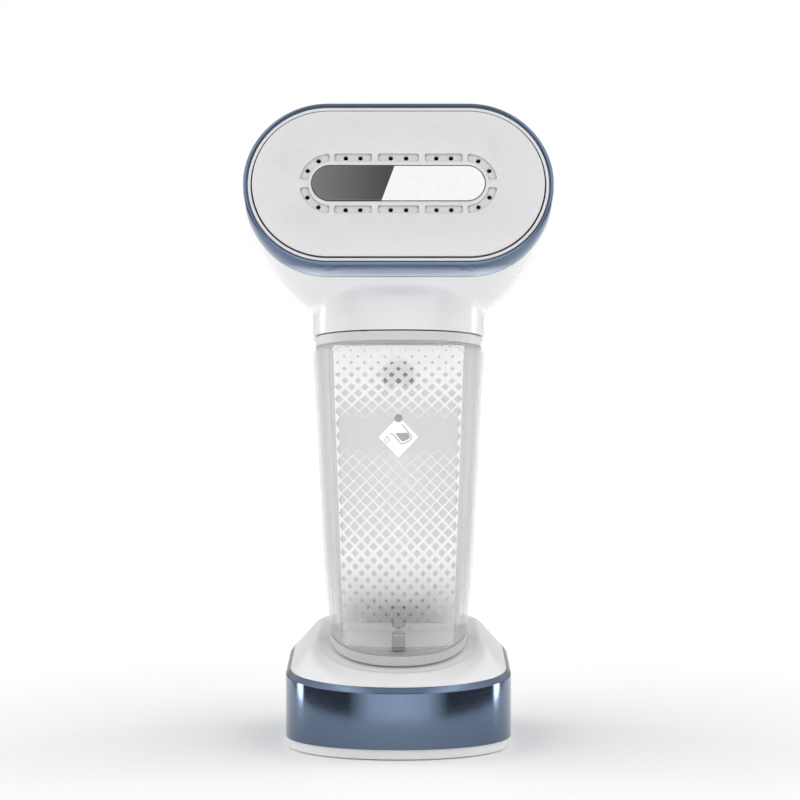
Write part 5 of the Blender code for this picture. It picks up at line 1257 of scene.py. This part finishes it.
def build_floor():
    mesh = loft_mesh("floor", [[(-12, -12, 0), (12, -12, 0)], [(-12, 12, 0), (12, 12, 0)]],
                     closed=False)
    nodes = Nodes("pale_floor")
    nodes.colour(nodes.ramp(nodes.noise(3.0, 2.0), (0.3, 0.90), (0.7, 0.92)))
    nodes.set(Roughness=0.9, Specular_IOR_Level=0.1)
    # painted light: the floor's emission rises with distance from the object, so the floor is darker
    # round the object, a painted shade
    away = nodes.add("ShaderNodeVectorMath", operation="LENGTH")
    nodes.link(nodes.coords, away.inputs[0])
    painted_glow = nodes.ramp(away.outputs["Value"], (0.12, 0.03), (0.9, 0.3))
    nodes.link(painted_glow, nodes.shader.inputs["Emission Strength"])
    nodes.shader.inputs["Emission Color"].default_value = (1, 1, 1, 1)
    floor = mesh_object("floor", mesh, nodes.material)


# the room's brightness; x, y and z are those of a direction
BRIGHTEST = 12.0  # scale of the ramps
HORIZON_LIGHT = ((0.0, 1.9), (0.12, 1.6), (0.24, 0.05), (0.58, 0.1), (0.605, 11.0), (0.628, 11.0),
                 (0.67, 0.4), (1.0, 0.6))  # by the turn from the front; 1 is behind
MIDDLE_LIGHT = ((0.0, 0.15), (0.8, 0.15), (0.93, 0.6), (1.0, 0.6))  # by z
OVERHEAD_LIGHT = ((0.0, 0.0), (0.2, 0.0), (0.42, 1.25), (1.0, 1.25))  # by x, either way
REAR_SHARE = ((0.0, 1.0), (0.5, 0.55))  # of the overhead light, by y
HORIZON_BLEND = (0.22, 0.4)  # z between which the light from above takes over


def build_world():
    """Soft white room: dark flags at both sides, and a bright strip behind each of them."""
    world = bpy.data.worlds.new("studio")
    bpy.context.scene.world = world
    world.use_nodes = True
    tree = world.node_tree
    tree.nodes.clear()
    coords = tree.nodes.new("ShaderNodeTexCoord")
    split = tree.nodes.new("ShaderNodeSeparateXYZ")
    tree.links.new(coords.outputs["Generated"], split.inputs["Vector"])

    def math_node(operation, first, second=0.0):
        node = tree.nodes.new("ShaderNodeMath")
        node.operation = operation
        for socket, value in zip(node.inputs, (first, second)):
            if isinstance(value, (int, float)):
                socket.default_value = value
            else:
                tree.links.new(value, socket)
        return node.outputs["Value"]

    def ramp(source, stops):
        node = tree.nodes.new("ShaderNodeValToRGB")
        elements = node.color_ramp.elements
        while len(elements) < len(stops):
            elements.new(0.5)
        for element, (place, value) in zip(elements, stops):
            element.position = place
            level = value / BRIGHTEST
            element.color = (level, level, level, 1)
        tree.links.new(source, node.inputs["Fac"])
        return math_node("MULTIPLY", node.outputs["Color"], BRIGHTEST)

    forward = math_node("MULTIPLY", split.outputs["Y"], -1.0)
    turned = math_node("ABSOLUTE", math_node("ARCTAN2", split.outputs["X"], forward))
    sides = ramp(math_node("DIVIDE", turned, math.pi), HORIZON_LIGHT)
    middle = ramp(split.outputs["Z"], MIDDLE_LIGHT)
    overhead = ramp(math_node("ABSOLUTE", split.outputs["X"]), OVERHEAD_LIGHT)
    rearward = ramp(split.outputs["Y"], REAR_SHARE)
    above = math_node("ADD", middle, math_node("MULTIPLY", overhead, rearward))
    height = tree.nodes.new("ShaderNodeMapRange")
    height.interpolation_type = "SMOOTHSTEP"
    height.inputs["From Min"].default_value = HORIZON_BLEND[0]
    height.inputs["From Max"].default_value = HORIZON_BLEND[1]
    tree.links.new(split.outputs["Z"], height.inputs["Value"])
    mix = tree.nodes.new("ShaderNodeMix")
    tree.links.new(height.outputs["Result"], mix.inputs["Factor"])
    tree.links.new(sides, mix.inputs[2])
    tree.links.new(above, mix.inputs[3])
    room = tree.nodes.new("ShaderNodeBackground")
    room.inputs["Color"].default_value = (1, 1, 1, 1)
    tree.links.new(mix.outputs[0], room.inputs["Strength"])
    seen = tree.nodes.new("ShaderNodeBackground")
    seen.inputs["Color"].default_value = (1, 1, 1, 1)
    seen.inputs["Strength"].default_value = 1.0
    path = tree.nodes.new("ShaderNodeLightPath")
    choose = tree.nodes.new("ShaderNodeMixShader")
    tree.links.new(path.outputs["Is Camera Ray"], choose.inputs["Fac"])
    tree.links.new(room.outputs["Background"], choose.inputs[1])
    tree.links.new(seen.outputs["Background"], choose.inputs[2])
    output = tree.nodes.new("ShaderNodeOutputWorld")
    tree.links.new(choose.outputs["Shader"], output.inputs["Surface"])


def area_light(name, place, target, size, power):
    data = bpy.data.lights.new(name, "AREA")
    data.shape = "RECTANGLE"
    data.size, data.size_y = size
    data.energy = power
    light = bpy.data.objects.new(name, data)
    light.location = place
    light.rotation_euler = (Vector(target) - Vector(place)).to_track_quat("-Z", "Y").to_euler()
    bpy.context.scene.collection.objects.link(light)


TOP_POWER = 5.4  # watts


def build_lights():
    area_light("top_softbox", (0, -0.2, 2.2), (0, 0, 0.15), (2.6, 2.2), TOP_POWER)


def build_scene():
    bpy.context.scene.view_settings.view_transform = "Standard"
    build_camera()
    build_floor()
    build_world()
    build_lights()
    build_plate()
    build_badge()
    build_head_rings()
    build_head_shell()
    build_grip_half("grip_front_skin", "grip_front_shell", False)
    build_grip_half("grip_back_skin", "grip_back_shell", True)
    build_tank_body()
    tank_slab("tank_top_trim", "top", -TANK_CAP, 0.0, "tank_top_cap", MATERIALS["frosted_tank"], "down")
    tank_slab("tank_bottom_trim", "floor", 0.0, TANK_CAP, "tank_bottom_cap", FOOT_CAP_MATERIAL, "up")
    build_tank_back()
    build_print()
    build_panel_edge()
    build_icon()
    build_vent_dot()
    build_intake_bracket()
    build_trim_band()
    build_deck()
    build_foot_plate()
    build_trigger_spring()
    dress_carried_nodes()


build_scene()
